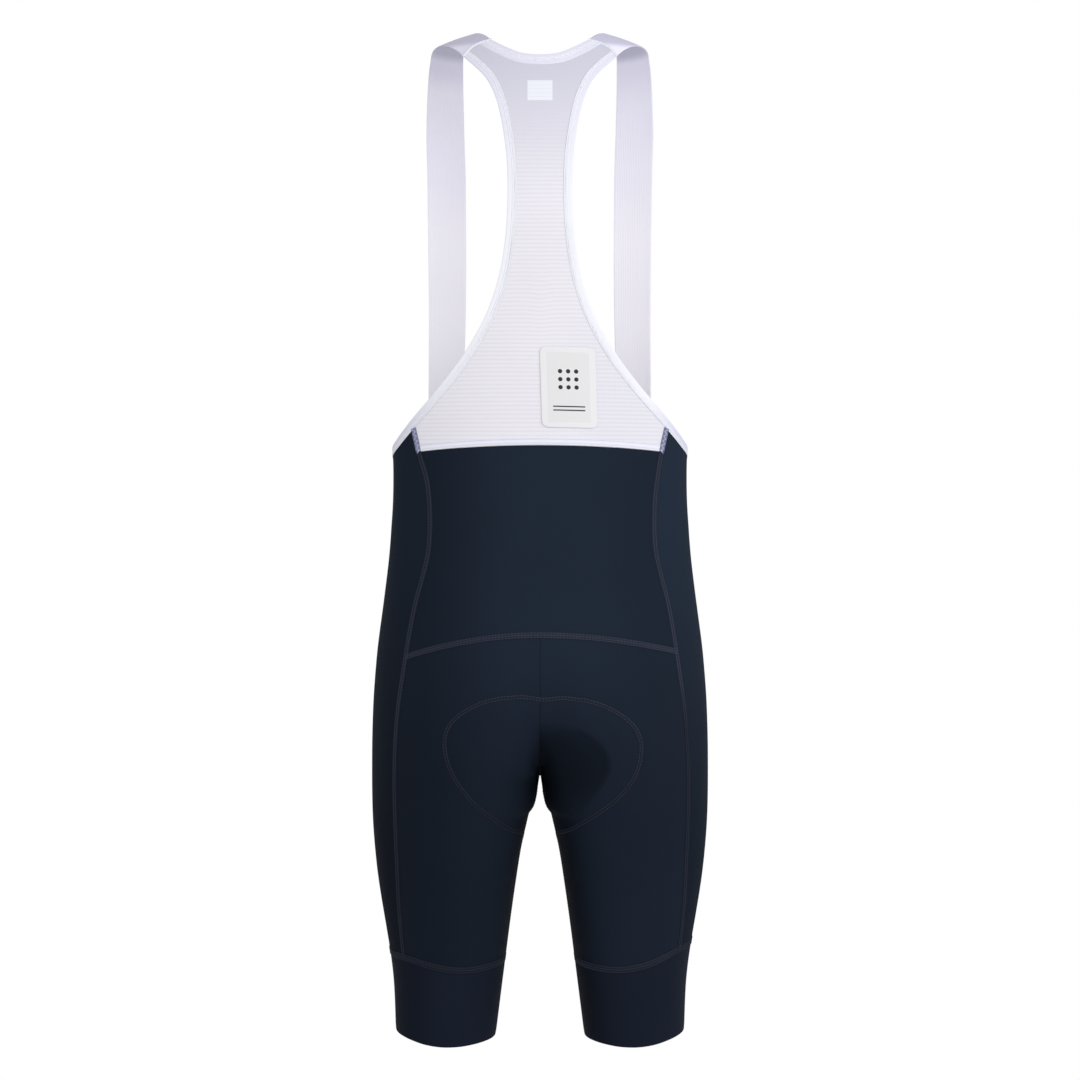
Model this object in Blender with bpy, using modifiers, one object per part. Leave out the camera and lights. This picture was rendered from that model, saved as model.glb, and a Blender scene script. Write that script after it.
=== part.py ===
"""Cycling bib shorts, filled out as when worn, every cut and sewn piece a wall of cloth of its own.

Sizes are in millimetres and are turned to metres when a piece is made. +X is the wearer's left, -Y
is the front and +Z is up. The origin lies midway between the two shoulders, level with the top of
the straps there.

The pieces lie on one smooth form, the inside of a standing figure: an oval for each leg that grows
into its mirror image above the crotch, closed by an arch at the shoulders. A place on the form is
written as (around, level), with around in degrees about the oval's centre, from 0 at the side to
90 at the back and -90 at the front, or as (across, level), with across measured from the middle.
"""
import math

import bpy
import numpy as np

MM = 0.001
GAP = 0.3               # clearance between two sewn pieces
SHARPEST_BEND = 0.6     # cosine of half the sharpest bend of an edge that the gap is kept round

KNIT = 1.3              # wall of the navy stretch knit
NET = 1.0               # wall of the ribbed white knit of the back
TAPE = 1.8              # folded elastic that binds the edges
TAPE_WIDTH = 7.8
WEBBING = 1.4           # wall of the wide elastic straps
PATCH = 1.0             # wall of the labels
LABEL_CLEAR = 0.45      # from the knit that carries a label

ROUGHNESS = 0.8
NAVY = (0.0100, 0.0145, 0.0260)
DARK = (0.0105, 0.0130, 0.0190)
WHITE = (0.800, 0.790, 0.850)
ELASTIC = (0.720, 0.715, 0.800)
TAPE_WHITE = (0.840, 0.860, 0.930)
PAD_GREY = (0.050, 0.055, 0.065)
LABEL_WHITE = (0.820, 0.820, 0.830)

# The form: sizes of the left half's oval at each level. Inner is where the oval would end on the
# side of the middle, and blend is how far round its meeting with the other half is filled.
FORM_COLUMNS = ("level", "outer", "centre", "inner", "front", "back", "blend")
FORM = (
    (60, 175, 0, -175, 106, 92, 0),
    (-120, 173, 0, -173, 108, 92, 0),
    (-180, 170, 0, -170, 111, 96, 0),
    (-250, 163, 0, -163, 111, 92, 0),
    (-330, 150, 0, -150, 106, 84, 0),
    (-400, 141.5, 0, -141.5, 101, 80, 0),
    (-445, 141.5, 0, -141.5, 100, 83, 0),
    (-500, 145.3, 0, -145.6, 100, 92, 0),
    (-545, 150.9, 17, -110, 100, 103, 12),
    (-590, 157, 35, -82, 99, 112, 28),
    (-635, 160.5, 55, -48, 98, 118, 34),
    (-677, 161.8, 68.7, -25, 96, 118, 22),
    (-697, 161.8, 75.5, -11, 95, 114.5, 11),
    (-717, 161.9, 80.5, 0.8, 94, 109, 5),
    (-740, 161.6, 83.5, 6.2, 92, 102, 5),
    (-752, 161.2, 84.9, 12.2, 91.2, 98.8, 5),
    (-770, 160.1, 87, 16.3, 90, 94, 5),
    (-806, 156.6, 89, 22.8, 87, 87, 5),
    (-840, 151.1, 90, 27.9, 83, 80, 5),
    (-875, 145, 90, 32.4, 78, 73, 5),
    (-906, 140.8, 90.3, 36.3, 73, 68, 5),
    (-935, 139.6, 90.6, 40, 69, 64, 5),
    (-963, 138.9, 90.8, 43.5, 66, 61, 5),
    (-1000, 138.1, 91, 48, 62, 58, 5),
)
FORM_SOFTNESS = 12      # how far each size is eased into the next, up and down
SIDE_POWER, FRONT_POWER, BACK_POWER = 2.2, 2.5, 2.1    # 2 is an ellipse, more is squarer
CHEST_FADE = 130.0      # below the arch, the height over which the front grows square

ARCH = 120.0            # height of the shoulder arch
CROWN = 13.3            # top of the arch, before it falls away to the sides
CROWN_SLOPE = 0.05
CROWN_SOFT = 30.0

# Edge of the armhole, on from the shoulder seam down the back, round the side and over the front.
ARMHOLE_COLUMNS = ("around", "level")
ARMHOLE = (
    (48.1, -36.9), (56.8, -49.7), (63.7, -67.9), (68.1, -91.2), (70.7, -119.1), (71.9, -148),
    (71.9, -178), (70.6, -204), (66.9, -237.4), (60.0, -270.7), (49.3, -304), (40.8, -326.1),
    (31.5, -348.2), (21.2, -370.2), (15.5, -380.8), (9.6, -389.2), (4.5, -393.4), (-1, -396.6),
    (-10, -402), (-25, -411), (-45, -419), (-65, -425), (-90, -428),
)
NECK_COLUMNS = ("across", "level")
NECK = ((0, -25.3), (9.5, -24.8), (18.9, -22.9), (33.2, -15.9), (46.5, -7.5))
SHOULDER_SEAM_COLUMNS = ("across", "level")
SHOULDER_SEAM = ((46.5, -7.5), (56, -10.6), (64.7, -15.5), (72.5, -25.4))
SIDE_SEAM_TOP = 22.3    # around, where the side seam meets the binding
SIDE_SEAM_COLUMNS = ("across", "level")
SIDE_SEAM = (
    (114.8, -401.2), (108.3, -431), (105.8, -466), (107.4, -496), (112.2, -518), (118.6, -543),
    (123.6, -570), (126.9, -591.5), (134.2, -645), (137.3, -699), (137.4, -740), (136.1, -786),
    (134.4, -831), (130.9, -872), (129.5, -885),
)
WAIST_CENTRE, WAIST_SIDE = -394.8, -400.0
YOKE_CENTRE, YOKE_SIDE = -572.5, -591.5

# Rings round the leg: the leg band's seam and the hem, from the side to the inside of the thigh.
RING_COLUMNS = ("around", "level")
BAND_SEAM = ((0, -874.6), (30, -875.2), (55, -876.8), (70, -881.2), (82, -885.8), (94, -889.0),
             (107, -890.3), (125, -889.6), (157, -887.9), (180, -887.3))
HEM = ((0, -956.5), (22, -956.9), (36, -957.6), (47, -958.6), (60, -960.5), (73, -963.0),
       (88, -964.8), (104, -964.8), (116, -964.0), (135, -963.0), (158, -962.6), (180, -962.4))

STRAP_COLUMNS = ("turn", "inner", "outer")
STRAP = ((90, 67, 103), (105, 74.5, 107.5), (120, 76.2, 110.5), (150, 76.2, 113.4), (180, 74.8, 112.8))
STRAP_HANG_COLUMNS = ("level", "inner", "outer")
STRAP_HANG = ((-120, 74.8, 112.8), (-200, 74.4, 112), (-260, 74.9, 111.4), (-330, 76.4, 111.4),
              (-448, 76.4, 111.4))
STRAP_TUCK_TOP, STRAP_TUCK, STRAP_END = -392.0, -414.0, -448.0
STRAP_TUCK_DEPTH = 2.5

LABEL_CENTRE, LABEL_SIZE, LABEL_TILT, LABEL_LEAN = (-26.7, -340.6), (52.0, 75.5), 1.2, 1.8
LABEL_CORNER = 6.0
NECK_LABEL_CENTRE, NECK_LABEL_SIZE = (0.0, -62.0), (23.6, 20.0)

PAD_CLEAR = 2.4         # from the middle of the cloth wall to the pad's near face
PAD_APEX_CLEAR, PAD_APEX_REACH = 1.2, 45.0      # and more over the crotch seam, within this reach
PAD_EDGE, PAD_MIDDLE = 2.0, 11.0
PAD_FULLNESS = 1.6      # how soon the pad is at its full thickness, in from its ends
PAD_BACK_COLUMNS = ("across", "level")
PAD_BACK = (
    (38, -632.5), (54, -636), (73, -645), (84.5, -654), (90.5, -667), (91, -679), (88, -694),
    (79, -712), (62, -731.5), (43, -747), (28, -758.5),
)
PAD_FRONT_COLUMNS = ("around", "level")
PAD_FRONT = (
    (168, -767), (180, -771), (194, -769), (207, -758), (219, -741), (231, -716), (243, -688),
    (253, -655), (260, -625), (262.5, -606),
)
PAD_TOP_BACK, PAD_TOP_FRONT = -632.0, -602.0

# How finely each piece is divided
BACK_COLUMNS, SIDE_COLUMNS, FRONT_COLUMNS, NET_COLUMNS = 10, 6, 10, 7
TOP_ROWS, YOKE_ROWS, SEAT_ROWS, INSEAM_ROWS, BAND_ROWS, NET_ROWS = 2, 11, 12, 10, 5, 26
NECK_COLUMNS_WIDE, SHOULDER_COLUMNS = 4, 3      # of the net's own columns, at its top edge
ARCH_ROWS, HANG_ROWS = 11, 18
PAD_ROWS, PAD_COLUMNS = 22, 6
TOWARDS_MIDDLE = 1.15   # how much closer the columns lie beside the middle seams
EDGE_STEPS = 800        # of the smooth lines that the armhole's and the neck's edges are taken from
TURN_LEVEL = -640.0     # below this the middle line is found by angle, above it by level


def form_sizes():
    """Each size of the form at every millimetre of level, eased up and down."""
    rows = np.array(sorted(FORM), float)
    levels = np.arange(rows[0, 0] - 60, rows[-1, 0] + 60)
    reach = np.arange(-3 * FORM_SOFTNESS, 3 * FORM_SOFTNESS + 1)
    weight = np.exp(-0.5 * (reach / FORM_SOFTNESS) ** 2)
    weight /= weight.sum()
    sizes = {}
    for name, values in zip(FORM_COLUMNS[1:], rows[:, 1:].T):
        plain = np.interp(levels, rows[:, 0], values)
        wide = np.pad(plain, 3 * FORM_SOFTNESS, mode="edge")
        sizes[name] = np.convolve(wide, weight, mode="valid")
    return levels, sizes


LEVELS, SIZES = form_sizes()


def size(name, level):
    return np.interp(level, LEVELS, SIZES[name])


def half_form(across, y, level):
    """Below zero inside the left half of the form and above zero outside it, in about millimetres."""
    centre, outer, back = size("centre", level), size("outer", level), size("back", level)
    aside = across - centre
    width = np.where(aside > 0, outer - centre, centre - size("inner", level))
    depth = np.where(y < 0, size("front", level), back)
    crown = CROWN - CROWN_SLOPE * (np.hypot(across, CROWN_SOFT) - CROWN_SOFT)
    rise = np.maximum(level - crown + ARCH, 0) / ARCH
    square = np.clip((-ARCH - level) / CHEST_FADE, 0, 1)
    front_power = SIDE_POWER + (FRONT_POWER - SIDE_POWER) * square
    power = np.where(y < 0, front_power, np.where(aside > 0, SIDE_POWER, BACK_POWER))
    upright = ((y / depth) ** 2 + rise ** 2) ** (power / 2)
    reach = ((np.abs(aside) / width) ** power + upright) ** (1 / power)
    return (reach - 1) * 0.5 * (outer - centre + back)


def form(points):
    """The same for the whole form: the two halves, with their meeting filled by the blend."""
    across, y, level = np.moveaxis(points, -1, 0)
    left, right = half_form(across, y, level), half_form(-across, y, level)
    blend = np.maximum(size("blend", level), 0.001)
    near = np.maximum(blend - np.abs(left - right), 0) / blend
    return np.minimum(left, right) - near ** 2 * blend / 4


def outward(points):
    """Direction straight out of the form."""
    step = 0.2
    slopes = [form(points + step * axis) - form(points - step * axis) for axis in np.eye(3)]
    slope = np.stack(slopes, -1)
    return slope / np.linalg.norm(slope, axis=-1, keepdims=True)


def settle(points):
    """Points moved straight on to the form."""
    for _ in range(4):
        points = points - form(points)[..., None] * outward(points)
    return points


def cast(origin, direction, reach=300.0):
    """Where lines from inside the form leave it."""
    origin, direction = np.broadcast_arrays(origin, direction)
    near = np.zeros(direction.shape[:-1])
    far = near + reach
    for _ in range(40):
        middle = (near + far) / 2
        inside = form(origin + middle[..., None] * direction) < 0
        near, far = np.where(inside, middle, near), np.where(inside, far, middle)
    return origin + near[..., None] * direction


def at(around, level):
    """Points of the left half, from the angle about the oval's centre and the level."""
    around, level = np.broadcast_arrays(np.radians(around), np.asarray(level, float))
    centre = size("centre", level)
    flat = np.zeros_like(level)
    to_middle = centre / np.maximum(-np.cos(around), 0.001)
    reach = np.where((np.cos(around) < 0) & (centre > 1), to_middle, 300.0)
    origin = np.stack([centre, flat, level], -1)
    return cast(origin, np.stack([np.cos(around), np.sin(around), flat], -1), reach)


def at_back(rows):
    """Points of the back, from rows of (across, level)."""
    rows = np.asarray(rows, float)
    origin = np.stack([rows[..., 0], np.zeros(rows.shape[:-1]), rows[..., 1]], -1)
    return cast(origin, np.array((0.0, 1.0, 0.0)))


def turned(points, lowest=-90.0):
    """(around, level) of points, with around counted upwards from the lowest angle."""
    around = np.degrees(np.arctan2(points[..., 1], points[..., 0] - size("centre", points[..., 2])))
    around = (around - lowest + 1e-6) % 360 + lowest - 1e-6
    return np.stack([around, points[..., 2]], -1)


def through(rows, steps=24):
    """Smooth curve through the rows, whose slopes come from the rows on either side."""
    rows = np.asarray(rows, float)
    spacing = np.sqrt(np.linalg.norm(np.diff(rows, axis=0), axis=1))
    place = np.concatenate([[0], np.cumsum(spacing)])
    slope = np.gradient(rows, place, axis=0)
    s = np.linspace(0, 1, steps, endpoint=False)[:, None]
    pieces = []
    for i, long in enumerate(spacing):
        start = (1 + 2 * s) * (1 - s) ** 2 * rows[i] + s * (1 - s) ** 2 * long * slope[i]
        end = s * s * (3 - 2 * s) * rows[i + 1] + s * s * (s - 1) * long * slope[i + 1]
        pieces.append(start + end)
    return np.concatenate(pieces + [rows[-1:]])


def lengths(curve):
    """Length along a curve at each of its points."""
    return np.concatenate([[0], np.cumsum(np.linalg.norm(np.diff(curve, axis=0), axis=1))])


def places(curve, count, first=0.0, last=None, crowd=1.0):
    """Places on a curve, as numbers of its points, in count even steps from first to last.

    With a crowd over 1 the steps grow shorter towards the last.
    """
    index = np.arange(len(curve))
    along = lengths(curve)
    last = index[-1] if last is None else last
    start, stop = np.interp((first, last), index, along)
    share = 1 - (1 - np.linspace(0, 1, count + 1)) ** crowd
    return np.interp(start + (stop - start) * share, along, index)


def pick(curve, wanted):
    """Points of a curve at places given as numbers of its points."""
    return np.stack([np.interp(wanted, np.arange(len(curve)), values) for values in curve.T], -1)


def even(curve, count, first=0.0, last=None, crowd=1.0):
    return pick(curve, places(curve, count, first, last, crowd))


def falls_to(values, wanted):
    """Place where values that fall along a curve, from their highest on, reach the wanted one."""
    top = int(np.argmax(values))
    return top + float(np.interp(-wanted, -values[top:], np.arange(len(values) - top)))


def beside(curve, distance):
    """The curve moved along the form, to its left as seen from outside."""
    aside = np.cross(outward(curve), np.gradient(curve, axis=0))
    aside /= np.linalg.norm(aside, axis=-1, keepdims=True)
    return settle(curve + distance * aside)


def filled(left, right, top, bottom, fade=3):
    """Flat places filled in between four edges that share their corners.

    The shapes of the top and the bottom edge fade away from them, faster with a higher fade.
    """
    def share(one, other):
        return (lengths(one) / lengths(one)[-1] + lengths(other) / lengths(other)[-1]) / 2

    v = share(left, right)[:, None, None]
    u = share(top, bottom)[None, :, None]
    sides = (1 - u) * left[:, None] + u * right[:, None]
    top_bow = top[None] - (1 - u) * left[0] - u * right[0]
    bottom_bow = bottom[None] - (1 - u) * left[-1] - u * right[-1]
    return sides + (1 - v) ** fade * top_bow + v ** fade * bottom_bow


def patch(left, right, top, bottom, lowest=-90.0, fade=3):
    """Points on the form, filled in between four edges that lie on it."""
    flat = filled(*(turned(edge, lowest) for edge in (left, right, top, bottom)), fade)
    grid = at(flat[..., 0], flat[..., 1])
    grid[:, 0], grid[:, -1], grid[0], grid[-1] = left, right, top, bottom
    return grid


def parted(grid, sides="left right top bottom"):
    """The grid with its named sides drawn in by half the gap between pieces, more in a bend."""
    edges = {"left": (np.s_[:, 0], np.s_[:, 1]), "right": (np.s_[:, -1], np.s_[:, -2]),
             "top": (np.s_[0], np.s_[1]), "bottom": (np.s_[-1], np.s_[-2])}
    moved = grid.copy()
    for side in sides.split():
        edge, neighbour = edges[side]
        along, step = np.gradient(grid[edge], axis=0), np.diff(grid[edge], axis=0)
        bend = np.ones((len(along), 1))
        bend[1:-1, 0] = np.sum(along[1:-1] * step[1:], -1) / (
            np.linalg.norm(along[1:-1], axis=-1) * np.linalg.norm(step[1:], axis=-1))
        aside = np.cross(outward(grid[edge]), along)
        aside /= np.linalg.norm(aside, axis=-1, keepdims=True)
        inwards = np.sign(np.sum(aside * (grid[neighbour] - grid[edge]), -1, keepdims=True))
        moved[edge] += GAP / 2 * inwards * aside / np.maximum(bend, SHARPEST_BEND)
    return moved


def finish(thing, colour, roughness):
    material = bpy.data.materials.new(thing.name)
    material.use_nodes = True
    shader = material.node_tree.nodes["Principled BSDF"]
    shader.inputs["Base Color"].default_value = (*colour, 1)
    shader.inputs["Roughness"].default_value = roughness
    shader.inputs["Metallic"].default_value = 0.0
    thing.data.materials.append(material)


def wall(name, grid, thickness, colour, side=1, ring=False, whole=True, lift=0.0):
    """Closed wall of cloth about a grid of points, its two skins moved straight out of the form.

    Both skins follow the form's own direction, so the facing rims of two sewn pieces stay
    parallel, also where they meet at a sharp angle. A ring closes on itself after its last
    column. A piece that isn't whole is a half, open at x = 0 in its first column, and Mirror
    completes it. Lift moves the wall out of the form.
    """
    rows, columns = grid.shape[:2]
    direction = outward(grid)
    if not whole:
        grid = grid.copy()
        grid[:, 0, 0] = direction[:, 0, 0] = 0
    half = np.broadcast_to(np.asarray(thickness, float) / 2, (rows, columns))[..., None]
    lift = np.broadcast_to(np.asarray(lift, float), (rows, columns))[..., None]
    skins = np.stack([grid + (lift + half) * direction, grid + (lift - half) * direction])
    points = skins * np.array((side, 1, 1)) * MM
    number = np.arange(2 * rows * columns).reshape(2, rows, columns)
    if ring:
        number = np.concatenate([number, number[:, :, :1]], axis=2)
    outer, inner = number

    def strips(a, b):
        """Faces between two rows of corners."""
        return np.stack([a[:-1], b[:-1], b[1:], a[1:]], -1).reshape(-1, 4)

    faces = [strips(outer[i], outer[i + 1]) for i in range(rows - 1)]
    faces += [strips(inner[i], inner[i + 1])[:, [0, 3, 2, 1]] for i in range(rows - 1)]
    faces += [strips(inner[0], outer[0]), strips(outer[-1], inner[-1])]
    if not ring:
        faces.append(strips(inner[:, -1], outer[:, -1]))
    if not ring and whole:
        faces.append(strips(outer[:, 0], inner[:, 0]))
    faces = np.concatenate(faces)

    corners = points[0][:2, :2]
    facing = np.cross(corners[1, 1] - corners[0, 0], corners[0, 1] - corners[1, 0])
    if facing @ (direction[0, 0] * (side, 1, 1)) < 0:
        faces = faces[:, [0, 3, 2, 1]]
    mesh = bpy.data.meshes.new(name)
    mesh.from_pydata(points.reshape(-1, 3).tolist(), [], faces.tolist())
    thing = bpy.data.objects.new(name, mesh)
    garment.objects.link(thing)
    if not whole:
        mirror = thing.modifiers.new("Mirror", "MIRROR")
        mirror.merge_threshold = 0.00005
    mesh.shade_smooth()
    mesh.set_sharp_from_angle(angle=math.radians(50))
    finish(thing, colour, ROUGHNESS)


def middle_line(facing, top):
    """The form's middle line at the back (1) or the front (-1), from a level down to the crotch."""
    levels = np.linspace(top, TURN_LEVEL, 150)
    origins = np.stack([0 * levels, 0 * levels, levels], -1)
    upright = cast(origins, np.array((0.0, facing, 0.0)))
    angle = np.radians(np.linspace(0, 90, 181))
    under = np.stack([0 * angle, facing * np.cos(angle), -np.sin(angle)], -1)
    return np.concatenate([upright, cast(np.array((0, 0, TURN_LEVEL)), under)[1:]])


def inseam_line(crotch):
    """Down the inside of the leg, from the crotch to the leg band."""
    drop = (ring_level(BAND_SEAM, 180) - crotch[2]) * np.linspace(0, 1, 200) ** 2
    line = at(180.0, crotch[2] + drop)
    line[0] = crotch
    return line


def ring_level(ring, around):
    """Level of a ring round the leg, the same on the front of the leg as on its back."""
    rows = through(ring)
    return np.interp(np.abs((np.asarray(around) + 180) % 360 - 180), rows[:, 0], rows[:, 1])


def band_line(start, stop):
    around = np.linspace(start, stop, 120)
    return at(around, ring_level(BAND_SEAM, around))


def seam_across(centre_level, end):
    """Seam from the middle of the back to a point of the side seam, dipping as it goes."""
    share = np.linspace(0, 1, 100)
    line = at_back(np.stack([end[0] * share, centre_level + (end[2] - centre_level) * share ** 2], -1))
    line[-1] = end
    return line


class Seams:
    """Every line at which the left half's pieces meet, as points that both pieces share."""

    def __init__(self):
        shoulder = at_back(through(SHOULDER_SEAM))
        rows = through([tuple(turned(shoulder[-1])), *ARMHOLE])
        edge = even(at(rows[:, 0], rows[:, 1]), EDGE_STEPS)
        edge[0] = shoulder[-1]
        inner = beside(edge, TAPE_WIDTH)
        inner[-1, 0] = 0
        neck = even(at_back(through(NECK)), EDGE_STEPS)
        neck_inner = beside(neck, TAPE_WIDTH)
        neck_inner[0, 0] = 0
        tape = np.interp(TAPE_WIDTH, lengths(shoulder), np.arange(len(shoulder)))
        tape_end = np.interp(lengths(shoulder)[-1] - TAPE_WIDTH, lengths(shoulder),
                             np.arange(len(shoulder)))
        self.shoulder = np.concatenate([shoulder[:1], even(shoulder, SHOULDER_COLUMNS, tape, tape_end),
                                        shoulder[-1:]])

        back_turn = falls_to(turned(inner)[:, 0], SIDE_SEAM_TOP)
        corner = pick(inner, np.array([back_turn]))[0]
        side = at_back(through([(corner[0], corner[2]), *SIDE_SEAM]))
        side[0] = corner
        side_turns = turned(side)
        waist = falls_to(side[:, 2], WAIST_SIDE)
        yoke = falls_to(side[:, 2], YOKE_SIDE)
        band = falls_to(side[:, 2] - ring_level(BAND_SEAM, side_turns[:, 0]), 0)
        self.side_top = even(side, TOP_ROWS, 0, waist)
        self.side_yoke = even(side, YOKE_ROWS, waist, yoke)
        self.side_seat = even(side, SEAT_ROWS + INSEAM_ROWS, yoke, band)
        self.side = np.concatenate([self.side_top[:-1], self.side_yoke[:-1], self.side_seat])

        inner_turns = turned(inner)
        mirrored = -np.interp(-inner_turns[:, 1], -side_turns[:, 1], side_turns[:, 0])
        front_turn = falls_to(inner_turns[:, 0] - mirrored, 0)
        corner = pick(inner, np.array([front_turn]))[0]
        levels = np.linspace(corner[2], self.side[-1, 2], 400)
        front = at(-np.interp(-levels, -side_turns[:, 1], side_turns[:, 0]), levels)
        front[0] = corner
        self.front = even(front, len(self.side) - 1)

        mesh_places = places(inner, NET_ROWS - TOP_ROWS, 0, back_turn)
        side_places = places(inner, SIDE_COLUMNS, back_turn, front_turn)
        front_places = places(inner, FRONT_COLUMNS, front_turn, crowd=TOWARDS_MIDDLE)
        self.tape_places = np.concatenate([mesh_places[:-1], side_places[:-1], front_places])
        self.tape_edge = pick(edge, self.tape_places)
        self.tape_inner = pick(inner, self.tape_places)
        self.tape_inner[0] = self.shoulder[-2]
        self.neck_edge = even(neck, NECK_COLUMNS_WIDE)
        self.neck_inner = even(neck_inner, NECK_COLUMNS_WIDE)
        self.neck_inner[-1] = self.shoulder[1]

        middle = middle_line(1, WAIST_CENTRE)
        self.crotch = middle[-1]
        yoke_middle = falls_to(middle[:, 2], YOKE_CENTRE)
        self.middle_yoke = even(middle, YOKE_ROWS, 0, yoke_middle)
        self.middle_seat = even(middle, SEAT_ROWS, yoke_middle)
        front_top = self.tape_inner[-1]
        middle_front = middle_line(-1, front_top[2])
        middle_front[0] = front_top
        self.middle_front = even(middle_front, TOP_ROWS + YOKE_ROWS + SEAT_ROWS)
        self.inseam = even(inseam_line(self.crotch), INSEAM_ROWS)

        self.waist = seam_across(WAIST_CENTRE, self.side_top[-1])
        self.yoke = even(seam_across(YOKE_CENTRE, self.side_yoke[-1])[::-1], BACK_COLUMNS,
                         crowd=TOWARDS_MIDDLE)
        back_end, front_end = turned(self.side[-1]), turned(self.front[-1])
        self.front[-1] = at(front_end[0], ring_level(BAND_SEAM, front_end[0]))
        self.band_back = even(band_line(back_end[0], 180), BACK_COLUMNS, crowd=TOWARDS_MIDDLE)
        self.band_front = even(band_line(front_end[0], -180), FRONT_COLUMNS, crowd=TOWARDS_MIDDLE)
        self.band_side = even(band_line(front_end[0], back_end[0]), SIDE_COLUMNS)
        self.band_back[-1] = self.band_front[-1] = self.inseam[-1]
        self.band_back[0] = self.band_side[-1] = self.side[-1]
        self.band_front[0] = self.band_side[0] = self.front[-1]


def make_back_net(seams):
    left_top = middle_line(1, seams.neck_inner[0, 2])
    left = even(left_top, NET_ROWS, 0, falls_to(left_top[:, 2], WAIST_CENTRE))
    armhole = seams.tape_inner[:NET_ROWS - TOP_ROWS + 1]
    right = np.concatenate([armhole[:-1], seams.side_top])
    top = np.concatenate([seams.neck_inner[:-1], seams.shoulder[1:-1]])
    bottom = even(seams.waist, NET_COLUMNS)
    grid = patch(left, right, top, bottom, fade=8)
    wall("back_mesh", parted(grid, "right top bottom"), NET, WHITE, whole=False)


def make_yoke(seams):
    top = even(seams.waist[::-1], BACK_COLUMNS, crowd=TOWARDS_MIDDLE)[::-1]
    grid = patch(seams.middle_yoke, seams.side_yoke, top, seams.yoke[::-1])
    wall("back_yoke", parted(grid, "right top bottom"), KNIT, NAVY, whole=False)


def make_neck_binding(seams):
    grid = np.stack([seams.neck_edge, seams.neck_inner])
    wall("binding_neck", parted(grid, "right bottom"), TAPE, TAPE_WHITE, whole=False)


def make_pad():
    """Seat pad inside the crotch, thick in the middle and thin at its stitched edge."""
    back = middle_line(1, PAD_TOP_BACK)
    front = middle_line(-1, PAD_TOP_FRONT)
    middle = np.concatenate([back, front[-2::-1]])
    rows = through([(*turned(at_back(row), 0)[:2],) for row in PAD_BACK] + list(PAD_FRONT))
    outline = at(rows[:, 0], rows[:, 1])
    left, right = even(middle, PAD_ROWS), even(outline, PAD_ROWS)
    spread = (np.arange(PAD_COLUMNS + 1) / PAD_COLUMNS) ** 1.5

    def end(start, stop):
        flat = turned(np.stack([start, stop]), 0)
        points = flat[0] + spread[:, None] * (flat[1] - flat[0])
        line = at(points[:, 0], points[:, 1])
        line[0], line[-1] = start, stop
        return line

    grid = patch(left, right, end(left[0], right[0]), end(left[-1], right[-1]), lowest=0.0)
    u = spread[None, :]
    v = np.linspace(0, 1, PAD_ROWS + 1)[:, None]
    plump = (1 - u ** 3) * np.clip(np.sin(np.pi * v) * PAD_FULLNESS, 0, 1)
    thickness = PAD_EDGE + (PAD_MIDDLE - PAD_EDGE) * plump
    away = grid - left[len(left) // 2]
    apex = np.exp(-(away ** 2).sum(-1) / (2 * PAD_APEX_REACH ** 2))
    clear = PAD_CLEAR + PAD_APEX_CLEAR * apex
    wall("seat_pad", grid, thickness, PAD_GREY, whole=False, lift=-clear - thickness / 2)


def make_label(name, centre, wide_high, tilt, lean, corner, lift, columns, rows):
    """Small patch on the back, its corners cut round, its rows tilted and its sides leaning."""
    u, v = np.meshgrid(np.linspace(-0.5, 0.5, columns + 1) * wide_high[0],
                       np.linspace(0.5, -0.5, rows + 1) * wide_high[1])
    drawn_in = corner * (1 - math.sqrt(0.5))
    for i in (0, -1):
        for j in (0, -1):
            u[i, j] -= np.sign(u[i, j]) * drawn_in
            v[i, j] -= np.sign(v[i, j]) * drawn_in
    tilt, lean = math.radians(tilt), math.radians(lean)
    grid = at_back(np.stack([centre[0] + u * math.cos(tilt) + v * math.sin(lean),
                             centre[1] + u * math.sin(tilt) + v * math.cos(lean)], -1))
    wall(name, grid, PATCH, LABEL_WHITE, lift=lift)


def make_sided_pieces(seams, side, word):
    """The pieces of one side, the left (1) or the right (-1)."""
    tape = np.stack([seams.tape_edge, seams.tape_inner])
    wall(f"binding_armhole_{word}", parted(tape, "left right bottom"), TAPE, TAPE_WHITE, side)

    first = NET_ROWS - TOP_ROWS
    top = seams.tape_inner[first:first + SIDE_COLUMNS + 1]
    grid = patch(seams.side, seams.front, top, seams.band_side[::-1])
    wall(f"side_panel_{word}", parted(grid), KNIT, DARK, side)

    grid = patch(seams.side_seat, np.concatenate([seams.middle_seat[:-1], seams.inseam]),
                 seams.yoke, seams.band_back)
    wall(f"seat_{word}", parted(grid), KNIT, NAVY, side)

    top = seams.tape_inner[first + SIDE_COLUMNS:]
    grid = patch(seams.front, np.concatenate([seams.middle_front[:-1], seams.inseam]),
                 top, seams.band_front, lowest=-180.0)
    wall(f"front_{word}", parted(grid), KNIT, NAVY, side)

    ring = np.concatenate([seams.band_back[:-1], seams.band_front[:0:-1], seams.band_side[:-1]])
    around = turned(ring)[:, 0]
    v = np.linspace(0, 1, BAND_ROWS + 1)[:, None]
    grid = at(around[None], (1 - v) * ring[:, 2] + v * ring_level(HEM, around))
    wall(f"leg_band_{word}", parted(grid, "top"), KNIT, NAVY, side, ring=True)


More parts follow.
